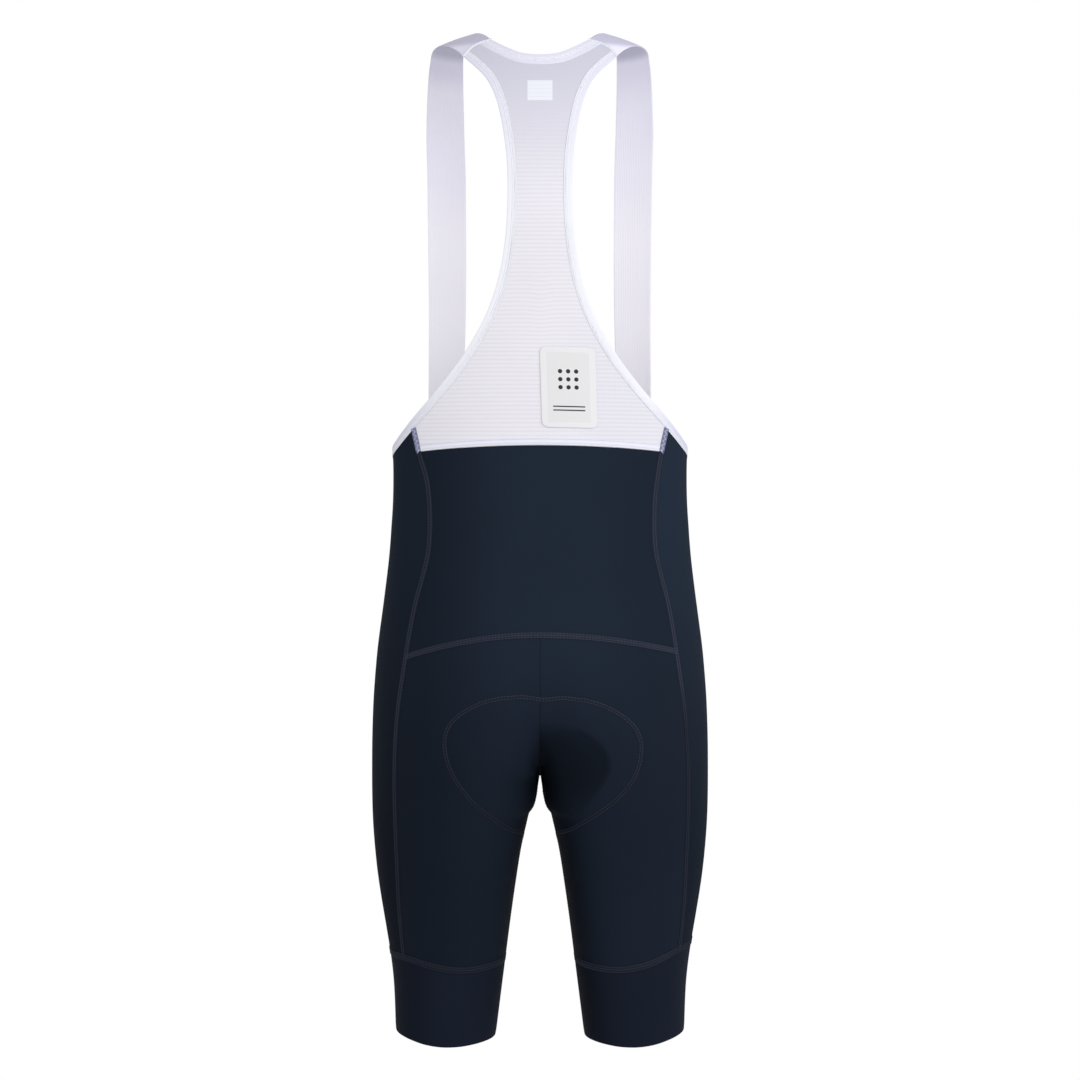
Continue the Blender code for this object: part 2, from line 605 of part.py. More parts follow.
def make_strap(seams, side, word):
    """Wide elastic from the shoulder seam over the shoulder and down inside the front."""
    pivot = np.array((0.0, 0.0, -ARCH))
    start = seams.shoulder
    turn = np.degrees(np.arctan2(start[:, 2] + ARCH, start[:, 1]))
    start = np.stack([start[:, 0], turn], -1)
    edges = []
    for index, column in ((0, 1), (-1, 2)):
        rows = [tuple(start[index])] + [(row[column], row[0]) for row in STRAP]
        edges.append(even(through(rows), ARCH_ROWS))
    share = (lengths(seams.shoulder) / lengths(seams.shoulder)[-1])[:, None]
    end = edges[0][-1] + share * (edges[1][-1] - edges[0][-1])
    flat = filled(edges[0], edges[1], start, end)
    angle = np.radians(flat[..., 1])
    direction = np.stack([0 * angle, np.cos(angle), np.sin(angle)], -1)
    over = cast(pivot + np.stack([flat[..., 0], 0 * angle, 0 * angle], -1), direction)
    over[0] = seams.shoulder

    level = np.linspace(-ARCH, STRAP_END, HANG_ROWS + 1)[1:]
    hang = through(STRAP_HANG)
    inner, outer = (np.interp(-level, -hang[:, 0], hang[:, column]) for column in (1, 2))
    across = inner[:, None] + (outer - inner)[:, None] * share.T
    origin = np.stack([across, 0 * across, level[:, None] + 0 * across], -1)
    grid = np.concatenate([over, cast(origin, np.array((0.0, -1.0, 0.0)))])
    tucked = np.clip((STRAP_TUCK_TOP - grid[..., 2]) / (STRAP_TUCK_TOP - STRAP_TUCK), 0, 1)
    tucked[:len(over)] = 0
    wall(f"strap_{word}", parted(grid, "top"), WEBBING, ELASTIC, side, lift=-STRAP_TUCK_DEPTH * tucked)


for old in list(bpy.data.objects):
    bpy.data.objects.remove(old)
garment = bpy.data.collections.new("cycling_bib_shorts")
bpy.context.scene.collection.children.link(garment)

shared_seams = Seams()
make_back_net(shared_seams)
make_yoke(shared_seams)
make_neck_binding(shared_seams)
make_pad()
make_label("label_back", LABEL_CENTRE, LABEL_SIZE, LABEL_TILT, LABEL_LEAN, LABEL_CORNER,
           NET / 2 + LABEL_CLEAR + PATCH / 2, 4, 6)
make_label("label_neck", NECK_LABEL_CENTRE, NECK_LABEL_SIZE, 0.0, 0.0, 0.0,
           -(NET / 2 + LABEL_CLEAR + PATCH / 2), 4, 2)
for hand, hand_name in ((1, "left"), (-1, "right")):
    make_sided_pieces(shared_seams, hand, hand_name)
    make_strap(shared_seams, hand, hand_name)
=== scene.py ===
"""Cycling bib shorts, dressed: knit panels, ribbed net back, elastics, seat pad, labels and stitching.

Sizes are in millimetres and become metres when a mesh is made. +X is the wearer's left, -Y the
front and +Z up. Every piece lies on one smooth form, the inside of a standing figure: an oval for
each leg that grows into its mirror image above the crotch, closed by an arch at the shoulders.
A place on the form is (around, level), with around in degrees about the oval's centre from 0 at
the side to 90 at the back and -90 at the front, or (across, level), measured from the middle.
"""
import math

import bpy
import numpy as np
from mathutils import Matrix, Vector


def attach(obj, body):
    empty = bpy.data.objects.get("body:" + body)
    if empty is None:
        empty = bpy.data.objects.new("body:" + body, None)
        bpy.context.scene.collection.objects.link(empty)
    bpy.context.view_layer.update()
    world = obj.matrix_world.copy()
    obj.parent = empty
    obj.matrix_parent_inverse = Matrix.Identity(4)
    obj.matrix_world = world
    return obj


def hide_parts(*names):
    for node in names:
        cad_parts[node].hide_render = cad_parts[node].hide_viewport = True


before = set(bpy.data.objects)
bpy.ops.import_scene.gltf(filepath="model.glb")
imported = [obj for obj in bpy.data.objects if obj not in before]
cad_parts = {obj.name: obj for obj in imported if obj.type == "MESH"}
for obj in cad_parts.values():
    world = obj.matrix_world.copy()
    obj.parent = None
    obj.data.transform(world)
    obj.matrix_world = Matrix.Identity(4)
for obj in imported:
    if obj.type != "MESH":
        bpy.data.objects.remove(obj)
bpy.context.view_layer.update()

bl_info = {
    "name": "Cycling bib shorts",
    "version": (1, 0, 0),
    "blender": (4, 5, 0),
    "location": "View3D > Sidebar > Bib shorts",
    "description": "Builds the panels, elastics, pad, labels and stitching of cycling bib shorts",
    "category": "Add Mesh",
}

MM = 0.001

# The form: sizes of the left half's oval at each level. Inner is where the oval would end on the
# side of the middle, and blend is how far round its meeting with the other half is filled.
FORM_COLUMNS = ("level", "outer", "centre", "inner", "front", "back", "blend")
FORM = (
    (60, 175, 0, -175, 106, 92, 0),
    (-120, 173, 0, -173, 108, 92, 0),
    (-180, 170, 0, -170, 111, 96, 0),
    (-250, 163, 0, -163, 111, 92, 0),
    (-330, 150, 0, -150, 106, 84, 0),
    (-400, 141.5, 0, -141.5, 101, 80, 0),
    (-445, 141.5, 0, -141.5, 100, 83, 0),
    (-500, 145.3, 0, -145.6, 100, 92, 0),
    (-545, 150.9, 17, -110, 100, 103, 12),
    (-590, 157, 35, -82, 99, 112, 28),
    (-635, 160.5, 55, -48, 98, 118, 34),
    (-677, 161.8, 68.7, -25, 96, 118, 22),
    (-697, 161.8, 75.5, -11, 95, 114.5, 11),
    (-717, 161.9, 80.5, 0.8, 94, 109, 5),
    (-740, 161.6, 83.5, 6.2, 92, 102, 5),
    (-752, 161.2, 84.9, 12.2, 91.2, 98.8, 5),
    (-770, 160.1, 87, 16.3, 90, 94, 5),
    (-806, 156.6, 89, 22.8, 87, 87, 5),
    (-840, 151.1, 90, 27.9, 83, 80, 5),
    (-875, 145, 90, 32.4, 78, 73, 5),
    (-906, 140.8, 90.3, 36.3, 73, 68, 5),
    (-935, 139.6, 90.6, 40, 69, 64, 5),
    (-963, 138.9, 90.8, 43.5, 66, 61, 5),
    (-1000, 138.1, 91, 48, 62, 58, 5),
)
FORM_SOFTNESS = 12      # how far up and down its sizes are eased
SIDE_POWER, FRONT_POWER, BACK_POWER = 2.2, 2.5, 2.1     # of the oval: 2 is round, more is squarer
CHEST_FADE = 130.0      # below the arch, how far down the front takes its own power
# The arch at the shoulders: its height, its highest level, and how that falls to the sides.
ARCH, CROWN, CROWN_SLOPE, CROWN_SOFT = 120.0, 13.3, 0.05, 30.0
FAR = 300.0             # farther from the middle than any point of the form

# The armhole's edge (around, level), from the shoulder to the middle of the front.
ARMHOLE = (
    (48.1, -36.9), (56.8, -49.7), (63.7, -67.9), (68.1, -91.2), (70.7, -119.1), (71.9, -148),
    (71.9, -178), (70.6, -204), (66.9, -237.4), (60.0, -270.7), (49.3, -304), (40.8, -326.1),
    (31.5, -348.2), (21.2, -370.2), (15.5, -380.8), (9.6, -389.2), (4.5, -393.4), (-1, -396.6),
    (-10, -402), (-25, -411), (-45, -419), (-65, -425), (-90, -428),
)
# Edge of the neck and seam of the shoulder (across, level).
NECK = ((0, -25.3), (9.5, -24.8), (18.9, -22.9), (33.2, -15.9), (46.5, -7.5))
SHOULDER_SEAM = ((46.5, -7.5), (56, -10.6), (64.7, -15.5), (72.5, -25.4))
SIDE_SEAM_TOP = 22.3    # around
SIDE_SEAM = (           # across, level
    (114.8, -401.2), (108.3, -431), (105.8, -466), (107.4, -496), (112.2, -518), (118.6, -543),
    (123.6, -570), (126.9, -591.5), (134.2, -645), (137.3, -699), (137.4, -740), (136.1, -786),
    (134.4, -831), (130.9, -872), (129.5, -885),
)
# Levels of the waist and of the yoke's lower seam, at the middle and at the side.
WAIST_CENTRE, WAIST_SIDE = -394.8, -400.0
YOKE_CENTRE, YOKE_SIDE = -572.5, -591.5

# Rings round the leg (around, level), from its side to its inside: the band's seam and the hem.
BAND_SEAM = ((0, -874.6), (30, -875.2), (55, -876.8), (70, -881.2), (82, -885.8), (94, -889.0),
             (107, -890.3), (125, -889.6), (157, -887.9), (180, -887.3))
HEM = ((0, -956.5), (22, -956.9), (36, -957.6), (47, -958.6), (60, -960.5), (73, -963.0),
       (88, -964.8), (104, -964.8), (116, -964.0), (135, -963.0), (158, -962.6), (180, -962.4))
TAPE_WIDTH, NECK_TAPE_WIDER = 7.8, 1.65     # of a binding, and how many times wider the neck's is
BINDING_CELL, BINDING_FOLD = 0.7, 1.6   # spacing of its rows, and how much rounder its folded edge is

# Edges of a strap: over the shoulder by the turn about it, and below by the level.
# Each row is (turn or level, inner, outer).
STRAP = ((90, 67, 103), (105, 74.5, 107.5), (120, 76.2, 110.5), (150, 76.2, 113.4), (180, 74.8, 112.8))
STRAP_HANG = ((-120, 74.8, 112.8), (-200, 74.4, 112), (-260, 74.9, 111.4), (-330, 76.4, 111.4),
              (-448, 76.4, 111.4))
# Levels at which a strap goes inside the front, is all inside and ends, and how far in it goes.
STRAP_TUCK_TOP, STRAP_TUCK, STRAP_END, STRAP_TUCK_DEPTH = -392.0, -414.0, -448.0, 2.5
STRAP_CELL, STRAP_ROWS_OVER, STRAP_ROWS_DOWN = 1.6, 64, 112     # of its grid

# Labels: centre (across, level), size, how its rows tilt and its sides lean in degrees, and corners.
LABEL_CENTRE, LABEL_SIZE, LABEL_TURNS, LABEL_CORNER = (-26.7, -340.6), (52.0, 75.5), (1.2, 1.8), 6.0
NECK_LABEL_CENTRE, NECK_LABEL_SIZE, NECK_LABEL_CORNER = (0.0, -62.0), (23.6, 20.0), 0.8
# How clear a label lies of the net, how much more the back one does, and the spacing of its grid.
LABEL_CLEAR, BACK_LABEL_CLEAR, LABEL_CELL = 0.25, 0.15, 1.6

# Ribs of the net: the highest level, the distance between two, and the gaps at their ends and above
# the waist. A shorter rib than the shortest is left out.
RIB_TOP, RIB_PITCH, RIB_END, RIB_WAIST_GAP, RIB_SHORTEST = -8.0, 3.9, 0.5, 8, 6
RIB_STEP, RIB_SINK = 4, 0.1     # spacing of its points, and how far it is sunk into the net
# Waves of the ribs (height, length down the net, length across), and their dip at its middle, whose
# two parts down and across are each (height, centre, width).
NET_WAVES = ((0.45, 37.0, 61.0), (0.35, 17.0, -43.0))
NET_DIP_DOWN, NET_DIP_ACROSS = (1.0, -264.0, 26.0), (1.6, 0.0, 9.0)

HEM_ROLL, HEM_ROLL_REACH = 0.3, 9       # how far the hem rolls in, and how far up
# The pad inside: its clearance from the cloth, more at its lowest point, and how far that reaches.
PAD_CLEAR, PAD_APEX_CLEAR, PAD_APEX_REACH = 2.4, 1.2, 45.0
PAD_EDGE, PAD_MIDDLE, PAD_FULLNESS = 2.0, 11.0, 1.6     # thickness, and how soon it is full
# The pad's stitched outline: at the back (across, level), then to the front (around, level).
PAD_BACK = (
    (38, -631.5), (54, -635.5), (73, -645), (84.5, -655), (90.5, -667), (91, -679), (88, -694),
    (79, -712), (62, -731.5), (43, -747), (28, -758.5),
)
PAD_FRONT = (
    (168, -767), (180, -771), (194, -769), (207, -758), (219, -741), (231, -716), (243, -688),
    (253, -655), (260, -625), (262.5, -606),
)
PAD_TOP_BACK, PAD_TOP_FRONT, PAD_TOP_RISE = -632.0, -602.0, 1.8
PAD_ROWS, PAD_COLUMNS, PAD_CROWDING = 111, 33, 1.3      # of its grid, crowded towards the middle
PAD_SHIFT, PAD_TILT = 2.9, 0.025    # of its stitched outline, to the wearer's right
PAD_SHIFT_EASE = (-765, -700)
# How the seams hang: moved to the wearer's right, and down on the left by the drop at the half.
HANG_SHIFT, HANG_DROP, HANG_HALF = 2.7, 4.2, 140
SHIFT_ASIDE, SHIFT_EASE, DROP_EASE, HANG_END = (15, 80), (395, 430), (450, 560), (900, 950)

DENSE = 800             # points of each smooth line
TURN_LEVEL = -640.0     # centre of the turn of the middle line under the crotch
SEAM_GAP = 0.12         # between two sewn pieces
RIM, RIM_EDGE = 0.9, 0.35   # how far in an edge is rounded, and what is left of its thickness
RIM_FIRST = 0.3         # share of the rim at which the first short step ends
NARROWEST_SHEET = 0.01  # the least width, in metres, that a sheet of cloth is declared with

HANDS = ((1, "left"), (-1, "right"))    # the wearer's, by the sign of +X

# How much longer the cloth is as worn than as cut (across, down).
NET_STRETCH, KNIT_STRETCH, BAND_STRETCH = (1.1, 1.05), (1.12, 1.06), (1.15, 1.03)
BINDING_STRETCH, STRAP_STRETCH, NO_STRETCH = (1.05, 1.0), (1.0, 1.12), (1.0, 1.0)


# ---------------------------------------------------------------- the form

def form_sizes():
    """Each size of the form at every millimetre of level, eased up and down."""
    rows = np.array(sorted(FORM), float)
    levels = np.arange(rows[0, 0] - 60, rows[-1, 0] + 60)
    reach = np.arange(-3 * FORM_SOFTNESS, 3 * FORM_SOFTNESS + 1)
    weight = np.exp(-0.5 * (reach / FORM_SOFTNESS) ** 2)
    weight /= weight.sum()
    sizes = {}
    for name, values in zip(FORM_COLUMNS[1:], rows[:, 1:].T):
        plain = np.interp(levels, rows[:, 0], values)
        wide = np.pad(plain, 3 * FORM_SOFTNESS, mode="edge")
        sizes[name] = np.convolve(wide, weight, mode="valid")
    return levels, sizes


LEVELS, SIZES = form_sizes()


def size(name, level):
    return np.interp(level, LEVELS, SIZES[name])


def half_form(across, y, level):
    """Below zero inside the left half of the form and above zero outside it."""
    centre, outer, back = size("centre", level), size("outer", level), size("back", level)
    aside = across - centre
    width = np.where(aside > 0, outer - centre, centre - size("inner", level))
    depth = np.where(y < 0, size("front", level), back)
    crown = CROWN - CROWN_SLOPE * (np.hypot(across, CROWN_SOFT) - CROWN_SOFT)
    rise = np.maximum(level - crown + ARCH, 0) / ARCH
    square = np.clip((-ARCH - level) / CHEST_FADE, 0, 1)
    front_power = SIDE_POWER + (FRONT_POWER - SIDE_POWER) * square
    power = np.where(y < 0, front_power, np.where(aside > 0, SIDE_POWER, BACK_POWER))
    upright = ((y / depth) ** 2 + rise ** 2) ** (power / 2)
    reach = ((np.abs(aside) / width) ** power + upright) ** (1 / power)
    return (reach - 1) * 0.5 * (outer - centre + back)


def form(points):
    """The same for the whole form: the two halves, with their meeting filled by the blend."""
    across, y, level = np.moveaxis(points, -1, 0)
    left, right = half_form(across, y, level), half_form(-across, y, level)
    blend = np.maximum(size("blend", level), 0.001)
    near = np.maximum(blend - np.abs(left - right), 0) / blend
    return np.minimum(left, right) - near ** 2 * blend / 4


def outward(points):
    """Direction straight out of the form."""
    step = 0.2
    slopes = [form(points + step * axis) - form(points - step * axis) for axis in np.eye(3)]
    slope = np.stack(slopes, -1)
    return slope / np.linalg.norm(slope, axis=-1, keepdims=True)


def settle(points):
    """Points moved straight on to the form."""
    for _ in range(4):
        points = points - form(points)[..., None] * outward(points)
    return points


def cast(origin, direction, reach=FAR):
    """Where lines from inside the form leave it."""
    origin, direction = np.broadcast_arrays(origin, direction)
    near = np.zeros(direction.shape[:-1])
    far = near + reach
    for _ in range(32):
        middle = (near + far) / 2
        inside = form(origin + middle[..., None] * direction) < 0
        near, far = np.where(inside, middle, near), np.where(inside, far, middle)
    return origin + near[..., None] * direction


def at(around, level):
    """Points of the left half, from the angle about the oval's centre and the level."""
    around, level = np.broadcast_arrays(np.radians(around), np.asarray(level, float))
    centre = size("centre", level)
    flat = np.zeros_like(level)
    to_middle = centre / np.maximum(-np.cos(around), 0.001)
    reach = np.where((np.cos(around) < 0) & (centre > 1), to_middle, FAR)
    origin = np.stack([centre, flat, level], -1)
    return cast(origin, np.stack([np.cos(around), np.sin(around), flat], -1), reach)


def at_back(rows):
    """Points of the back, from rows of (across, level)."""
    rows = np.asarray(rows, float)
    origin = np.stack([rows[..., 0], np.zeros(rows.shape[:-1]), rows[..., 1]], -1)
    return cast(origin, np.array((0.0, 1.0, 0.0)))


def turned(points, lowest=-90.0):
    """(around, level) of points, with around counted upwards from the lowest angle."""
    around = np.degrees(np.arctan2(points[..., 1], points[..., 0] - size("centre", points[..., 2])))
    around = (around - lowest + 1e-6) % 360 + lowest - 1e-6
    return np.stack([around, points[..., 2]], -1)


# ---------------------------------------------------------------- lines

def through(rows, steps=24):
    """Smooth curve through the rows, whose slopes come from the rows on either side."""
    rows = np.asarray(rows, float)
    spacing = np.sqrt(np.linalg.norm(np.diff(rows, axis=0), axis=1))
    place = np.concatenate([[0], np.cumsum(spacing)])
    slope = np.gradient(rows, place, axis=0)
    s = np.linspace(0, 1, steps, endpoint=False)[:, None]
    pieces = []
    for i, long in enumerate(spacing):
        start = (1 + 2 * s) * (1 - s) ** 2 * rows[i] + s * (1 - s) ** 2 * long * slope[i]
        end = s * s * (3 - 2 * s) * rows[i + 1] + s * s * (s - 1) * long * slope[i + 1]
        pieces.append(start + end)
    return np.concatenate(pieces + [rows[-1:]])


def lengths(curve):
    """Length along a curve at each of its points."""
    return np.concatenate([[0], np.cumsum(np.linalg.norm(np.diff(curve, axis=0), axis=-1))])


def pick(curve, wanted):
    """Points of a curve at places given as numbers of its points."""
    return np.stack([np.interp(wanted, np.arange(len(curve)), values) for values in curve.T], -1)


def even(curve, count=DENSE, first=0.0, last=None):
    """The curve from its first to its last place, in count even steps."""
    index, along = np.arange(len(curve)), lengths(curve)
    last = index[-1] if last is None else last
    start, stop = np.interp((first, last), index, along)
    return pick(curve, np.interp(np.linspace(start, stop, count + 1), along, index))


def joined(*curves):
    """Curves end to end as one, in even steps, and the shares of its length where they meet."""
    whole = np.concatenate([curve[:-1] for curve in curves[:-1]] + [curves[-1]])
    ends = np.cumsum([lengths(curve)[-1] for curve in curves])
    return even(whole, 2 * DENSE), tuple(ends[:-1] / ends[-1])


def share_of(curve, shares):
    """Points of an even curve at shares of its length."""
    return pick(curve, np.asarray(shares) * (len(curve) - 1))


def falls_to(values, wanted):
    """Place where values that fall along a curve, from their highest on, reach the wanted one."""
    top = int(np.argmax(values))
    return top + float(np.interp(-wanted, -values[top:], np.arange(len(values) - top)))


def beside(curve, distance):
    """The curve moved along the form, to its left as seen from outside."""
    aside = np.cross(outward(curve), np.gradient(curve, axis=0))
    aside /= np.linalg.norm(aside, axis=-1, keepdims=True)
    return settle(curve + distance * aside)


def eased_start(curve, start, reach=14.0):
    """The curve moved to start at a given point, the move fading out within the reach."""
    fade = np.clip(1 - lengths(curve) / reach, 0, 1) ** 2
    return curve + fade[:, None] * (start - curve[0])


def middle_line(facing, top):
    """The form's middle line at the back (1) or the front (-1), from a level down to the crotch."""
    levels = np.linspace(top, TURN_LEVEL, 150)
    origins = np.stack([0 * levels, 0 * levels, levels], -1)
    upright = cast(origins, np.array((0.0, facing, 0.0)))
    angle = np.radians(np.linspace(0, 90, 181))
    under = np.stack([0 * angle, facing * np.cos(angle), -np.sin(angle)], -1)
    return np.concatenate([upright, cast(np.array((0, 0, TURN_LEVEL)), under)[1:]])


def ring_level(ring, around):
    """Level of a ring round the leg, the same on the front of the leg as on its back."""
    rows = through(ring)
    return np.interp(np.abs((np.asarray(around) + 180) % 360 - 180), rows[:, 0], rows[:, 1])


def band_line(start, stop):
    around = np.linspace(start, stop, 300)
    return even(at(around, ring_level(BAND_SEAM, around)))


def seam_across(centre_level, end):
    """Seam from the middle of the back to a point of the side seam, dipping as it goes."""
    share = np.linspace(0, 1, 200)
    line = at_back(np.stack([end[0] * share, centre_level + (end[2] - centre_level) * share ** 2], -1))
    line[-1] = end
    return even(line)


def pad_rows():
    """Side of the pad's outline, without its two ends at the middle, as (around, level)."""
    return through([tuple(turned(at_back(row), 0)) for row in PAD_BACK] + list(PAD_FRONT))


class Lines:
    """Every line at which the left half's pieces meet, as dense points."""

    def __init__(self):
        shoulder = even(at_back(through(SHOULDER_SEAM)))
        long = lengths(shoulder)[-1]
        tape = TAPE_WIDTH / long
        self.shoulder = shoulder
        self.shoulder_net = share_of(shoulder, np.linspace(tape, 1 - tape, DENSE))
        rows = through([tuple(turned(shoulder[-1])), *ARMHOLE])
        edge = even(at(rows[:, 0], rows[:, 1]), 2 * DENSE)
        edge[0] = shoulder[-1]
        inner = beside(edge, TAPE_WIDTH)
        inner[-1, 0] = 0
        self.edge = edge
        self.inner = inner = eased_start(inner, self.shoulder_net[-1])
        self.neck = even(at_back(through(NECK)))
        neck_inner = beside(self.neck, TAPE_WIDTH)
        neck_inner[0, 0] = 0
        self.neck_inner = eased_start(neck_inner[::-1], self.shoulder_net[0])[::-1]

        self.back_turn = falls_to(turned(inner)[:, 0], SIDE_SEAM_TOP)
        corner = pick(inner, np.array([self.back_turn]))[0]
        side = at_back(through([(corner[0], corner[2]), *SIDE_SEAM]))
        side[0] = corner
        side_turns = turned(side)
        self.side_waist = falls_to(side[:, 2], WAIST_SIDE)
        self.side_yoke = falls_to(side[:, 2], YOKE_SIDE)
        self.side_band = falls_to(side[:, 2] - ring_level(BAND_SEAM, side_turns[:, 0]), 0)
        self.side_top = even(side, DENSE, 0, self.side_waist)
        self.side_middle = even(side, DENSE, self.side_waist, self.side_yoke)
        self.side_low = even(side, DENSE, self.side_yoke, self.side_band)

        inner_turns = turned(inner)
        front_turns = -np.interp(-inner_turns[:, 1], -side_turns[:, 1], side_turns[:, 0])
        self.front_turn = falls_to(inner_turns[:, 0] - front_turns, 0)
        corner = pick(inner, np.array([self.front_turn]))[0]
        levels = np.linspace(corner[2], self.side_low[-1, 2], 400)
        front = at(-np.interp(-levels, -side_turns[:, 1], side_turns[:, 0]), levels)
        front[0] = corner
        self.front = even(front)

        middle = middle_line(1, WAIST_CENTRE)
        self.crotch = middle[-1]
        yoke_middle = falls_to(middle[:, 2], YOKE_CENTRE)
        self.middle_yoke = even(middle, DENSE, 0, yoke_middle)
        self.middle_seat = even(middle, DENSE, yoke_middle)
        self.middle_front = even(middle_line(-1, inner[-1, 2]))
        self.middle_front[0] = inner[-1]
        drop = (ring_level(BAND_SEAM, 180) - self.crotch[2]) * np.linspace(0, 1, 200) ** 2
        inseam = at(180.0, self.crotch[2] + drop)
        inseam[0] = self.crotch
        self.inseam = even(inseam)

        self.waist = seam_across(WAIST_CENTRE, self.side_top[-1])
        self.yoke = seam_across(YOKE_CENTRE, self.side_middle[-1])
        back_end, front_end = turned(self.side_low[-1]), turned(self.front[-1])
        self.front[-1] = at(front_end[0], ring_level(BAND_SEAM, front_end[0]))
        self.band_back = band_line(back_end[0], 180)
        self.band_front = band_line(front_end[0], -180)
        self.band_side = band_line(back_end[0], front_end[0])
        self.pad = self.pad_outline()

    @staticmethod
    def pad_outline():
        """Left half of the pad's stitched outline, from the middle of the back to the front's."""
        rows = pad_rows()
        edge = at(rows[:, 0], rows[:, 1])
        start = np.linspace(0, edge[0, 0], 30)
        level = PAD_TOP_BACK + (edge[0, 2] - PAD_TOP_BACK) * (start / edge[0, 0]) ** 2
        level = level + PAD_TOP_RISE * np.sin(np.pi * start / edge[0, 0]) ** 2
        top = at_back(np.stack([start, level], -1))
        stop = np.linspace(1, 0, 30)[1:]
        level = PAD_TOP_FRONT + (edge[-1, 2] - PAD_TOP_FRONT) * stop ** 2
        origin = np.stack([edge[-1, 0] * stop, 0 * stop, level], -1)
        end = cast(origin, np.array((0.0, -1.0, 0.0)))
        return even(np.concatenate([top[:-1], edge, end]))


lines = Lines()


# ---------------------------------------------------------------- relief

def soft_step(values, low, high):
    """0 up to the low value and 1 from the high one on, smooth between."""
    share = np.clip((values - low) / (high - low), 0, 1)
    return share * share * (3 - 2 * share)


def ridge(values, height, centre, width):
    """A smooth ridge of some height about its centre."""
    return height * np.exp(-((values - centre) / width) ** 2)


def fall(values, share, start, stop):
    """A share that comes in smoothly from start to stop."""
    return share * soft_step(values, start, stop)


def near_line(points, line, at_once=2000):
    """Distance of each point from a line of dense points."""
    flat, sparse = points.reshape(-1, 3), line[::4]
    nearest = [np.linalg.norm(part[:, None] - sparse, axis=-1).min(1)
               for part in np.array_split(flat, max(1, len(flat) // at_once))]
    return np.concatenate(nearest).reshape(points.shape[:-1])


def folded(points):
    """Points of the right half brought to their mirror places on the left."""
    return points * np.where(points[..., :1] < 0, (-1.0, 1.0, 1.0), (1.0, 1.0, 1.0))


def inside_pad(points):
    """True within the pad's outline, by how often it is crossed on the way down from the point."""
    place = turned(folded(points), 0.0)
    outline = turned(lines.pad, 0.0)[::8]
    inside = np.zeros(points.shape[:-1], bool)
    for start, stop in zip(outline[:-1], outline[1:]):
        crosses = (start[0] > place[..., 0]) != (stop[0] > place[..., 0])
        slope = (place[..., 0] - start[0]) / np.where(stop[0] == start[0], 1.0, stop[0] - start[0])
        inside ^= crosses & (place[..., 1] > start[1] + slope * (stop[1] - start[1]))
    return inside


# The fold under the seat on the wearer's right (level, reach, depth, shade): at each level, how far out it
# reaches from the middle, how deep it lies inside there, and how dark the shade painted on it is.
FOLD = (
    (-652, 2, 0.0, 0.0), (-655, 24, 0.5, 0.07), (-659, 39, 1.2, 0.18), (-664, 48, 2.0, 0.30),
    (-671, 56, 2.8, 0.38), (-681, 63.5, 3.8, 0.41), (-691, 66.5, 4.4, 0.42), (-701, 65, 4.6, 0.42),
    (-712, 59.5, 4.2, 0.39), (-722, 53, 3.2, 0.31), (-734, 46, 2.0, 0.20), (-750, 42, 0.8, 0.08),
    (-772, 40, 0.0, 0.0),
)
FOLD_RIM, FOLD_SLACK = 7.0, 14.0    # width of its crease, and of its rise beyond the middle
# The tuck up between the thighs, where they part (across, rise).
CLEFT = ((0, 7.8), (0.63, 6.6), (1.36, 3.0), (2.0, 0))
# From the middle to the face of the inner thigh (level, half).
THIGH_GAP = (
    (-708, -1.5), (-713, -0.4), (-716.8, 0.63), (-720.7, 1.36), (-724.6, 1.94), (-728.4, 2.6),
    (-732.3, 3.35), (-736.2, 4.2), (-740.1, 5.4), (-744, 7.3), (-747.8, 10.2), (-751.7, 11.4), (-755.6, 12.3),
    (-765.3, 14.6), (-784.7, 18.7), (-813.8, 23.3), (-852.6, 28.8), (-891.4, 33.8),
)
WALL_AND_SEAM = 0.95    # half the knit, and the seam on it
# Levels between which the inner thighs are drawn to that, and half the strip at the middle that is
# drawn whichever way it faces.
THIGH_TOP, THIGH_END, MIDDLE_STRIP = -700, -891, 4
THIGH_EASE = (700, 716)             # depth at which the thighs' faces begin to count
THIGH_FACING, UNDER_FACING = (0.45, 0.9), (0.5, 0.95)   # how squarely a face looks in, and down
THIGH_PROUD = (-5.0, 2.0)           # the least and most that they may stand out
FOLD_SHALLOW, FOLD_FULL = 0.45, 45.0    # share of its depth at the crease, and where it is whole

# Ridges (height, centre, width): the pad's sunk seam, the turned edge of a binding, the cord of a
# strap's edge, and the pad's channel and middle as shares of its half width.
PAD_SEAM_RIDGE, BINDING_RIDGE, STRAP_RIDGE = (0.35, 0.0, 3.6), (0.5, 4.1, 0.45), (0.12, 1.2, 0.8)
PAD_CHANNEL, PAD_MIDDLE_DIP, PAD_DIP_EASE = (2.2, 0.42, 0.035), (1.8, 0.0, 0.09), (0.1, 0.6)
PAD_BULGE, PAD_BULGE_EDGE = 1.5, 14.0   # how far the pad lifts the cloth, and how far in it is full
PAD_LEVELS = (-800, -580)               # between which the pad lifts the cloth

# Falls of painted shade (share, start, stop), by the distance across or down.
NAVY_LEFT, NAVY_RIGHT, NAVY_LOWER = (0.36, 20, 115), (0.12, 40, 110), (0.22, 570, 690)
NAVY_LOWER_ASIDE = (0.5, 40, 110)
BAND_LEFT, SIDE_LOWER = (0.36, 90, 135), (0.47, 430, 800)
SIDE_LEFT, FRONT_FALL = 0.38, 0.2
FOLD_SHADE_EDGE, FOLD_SHADE_MIDDLE = (-1.0, 5.0), (-3.0, 2.0)   # where the fold's shade sets in
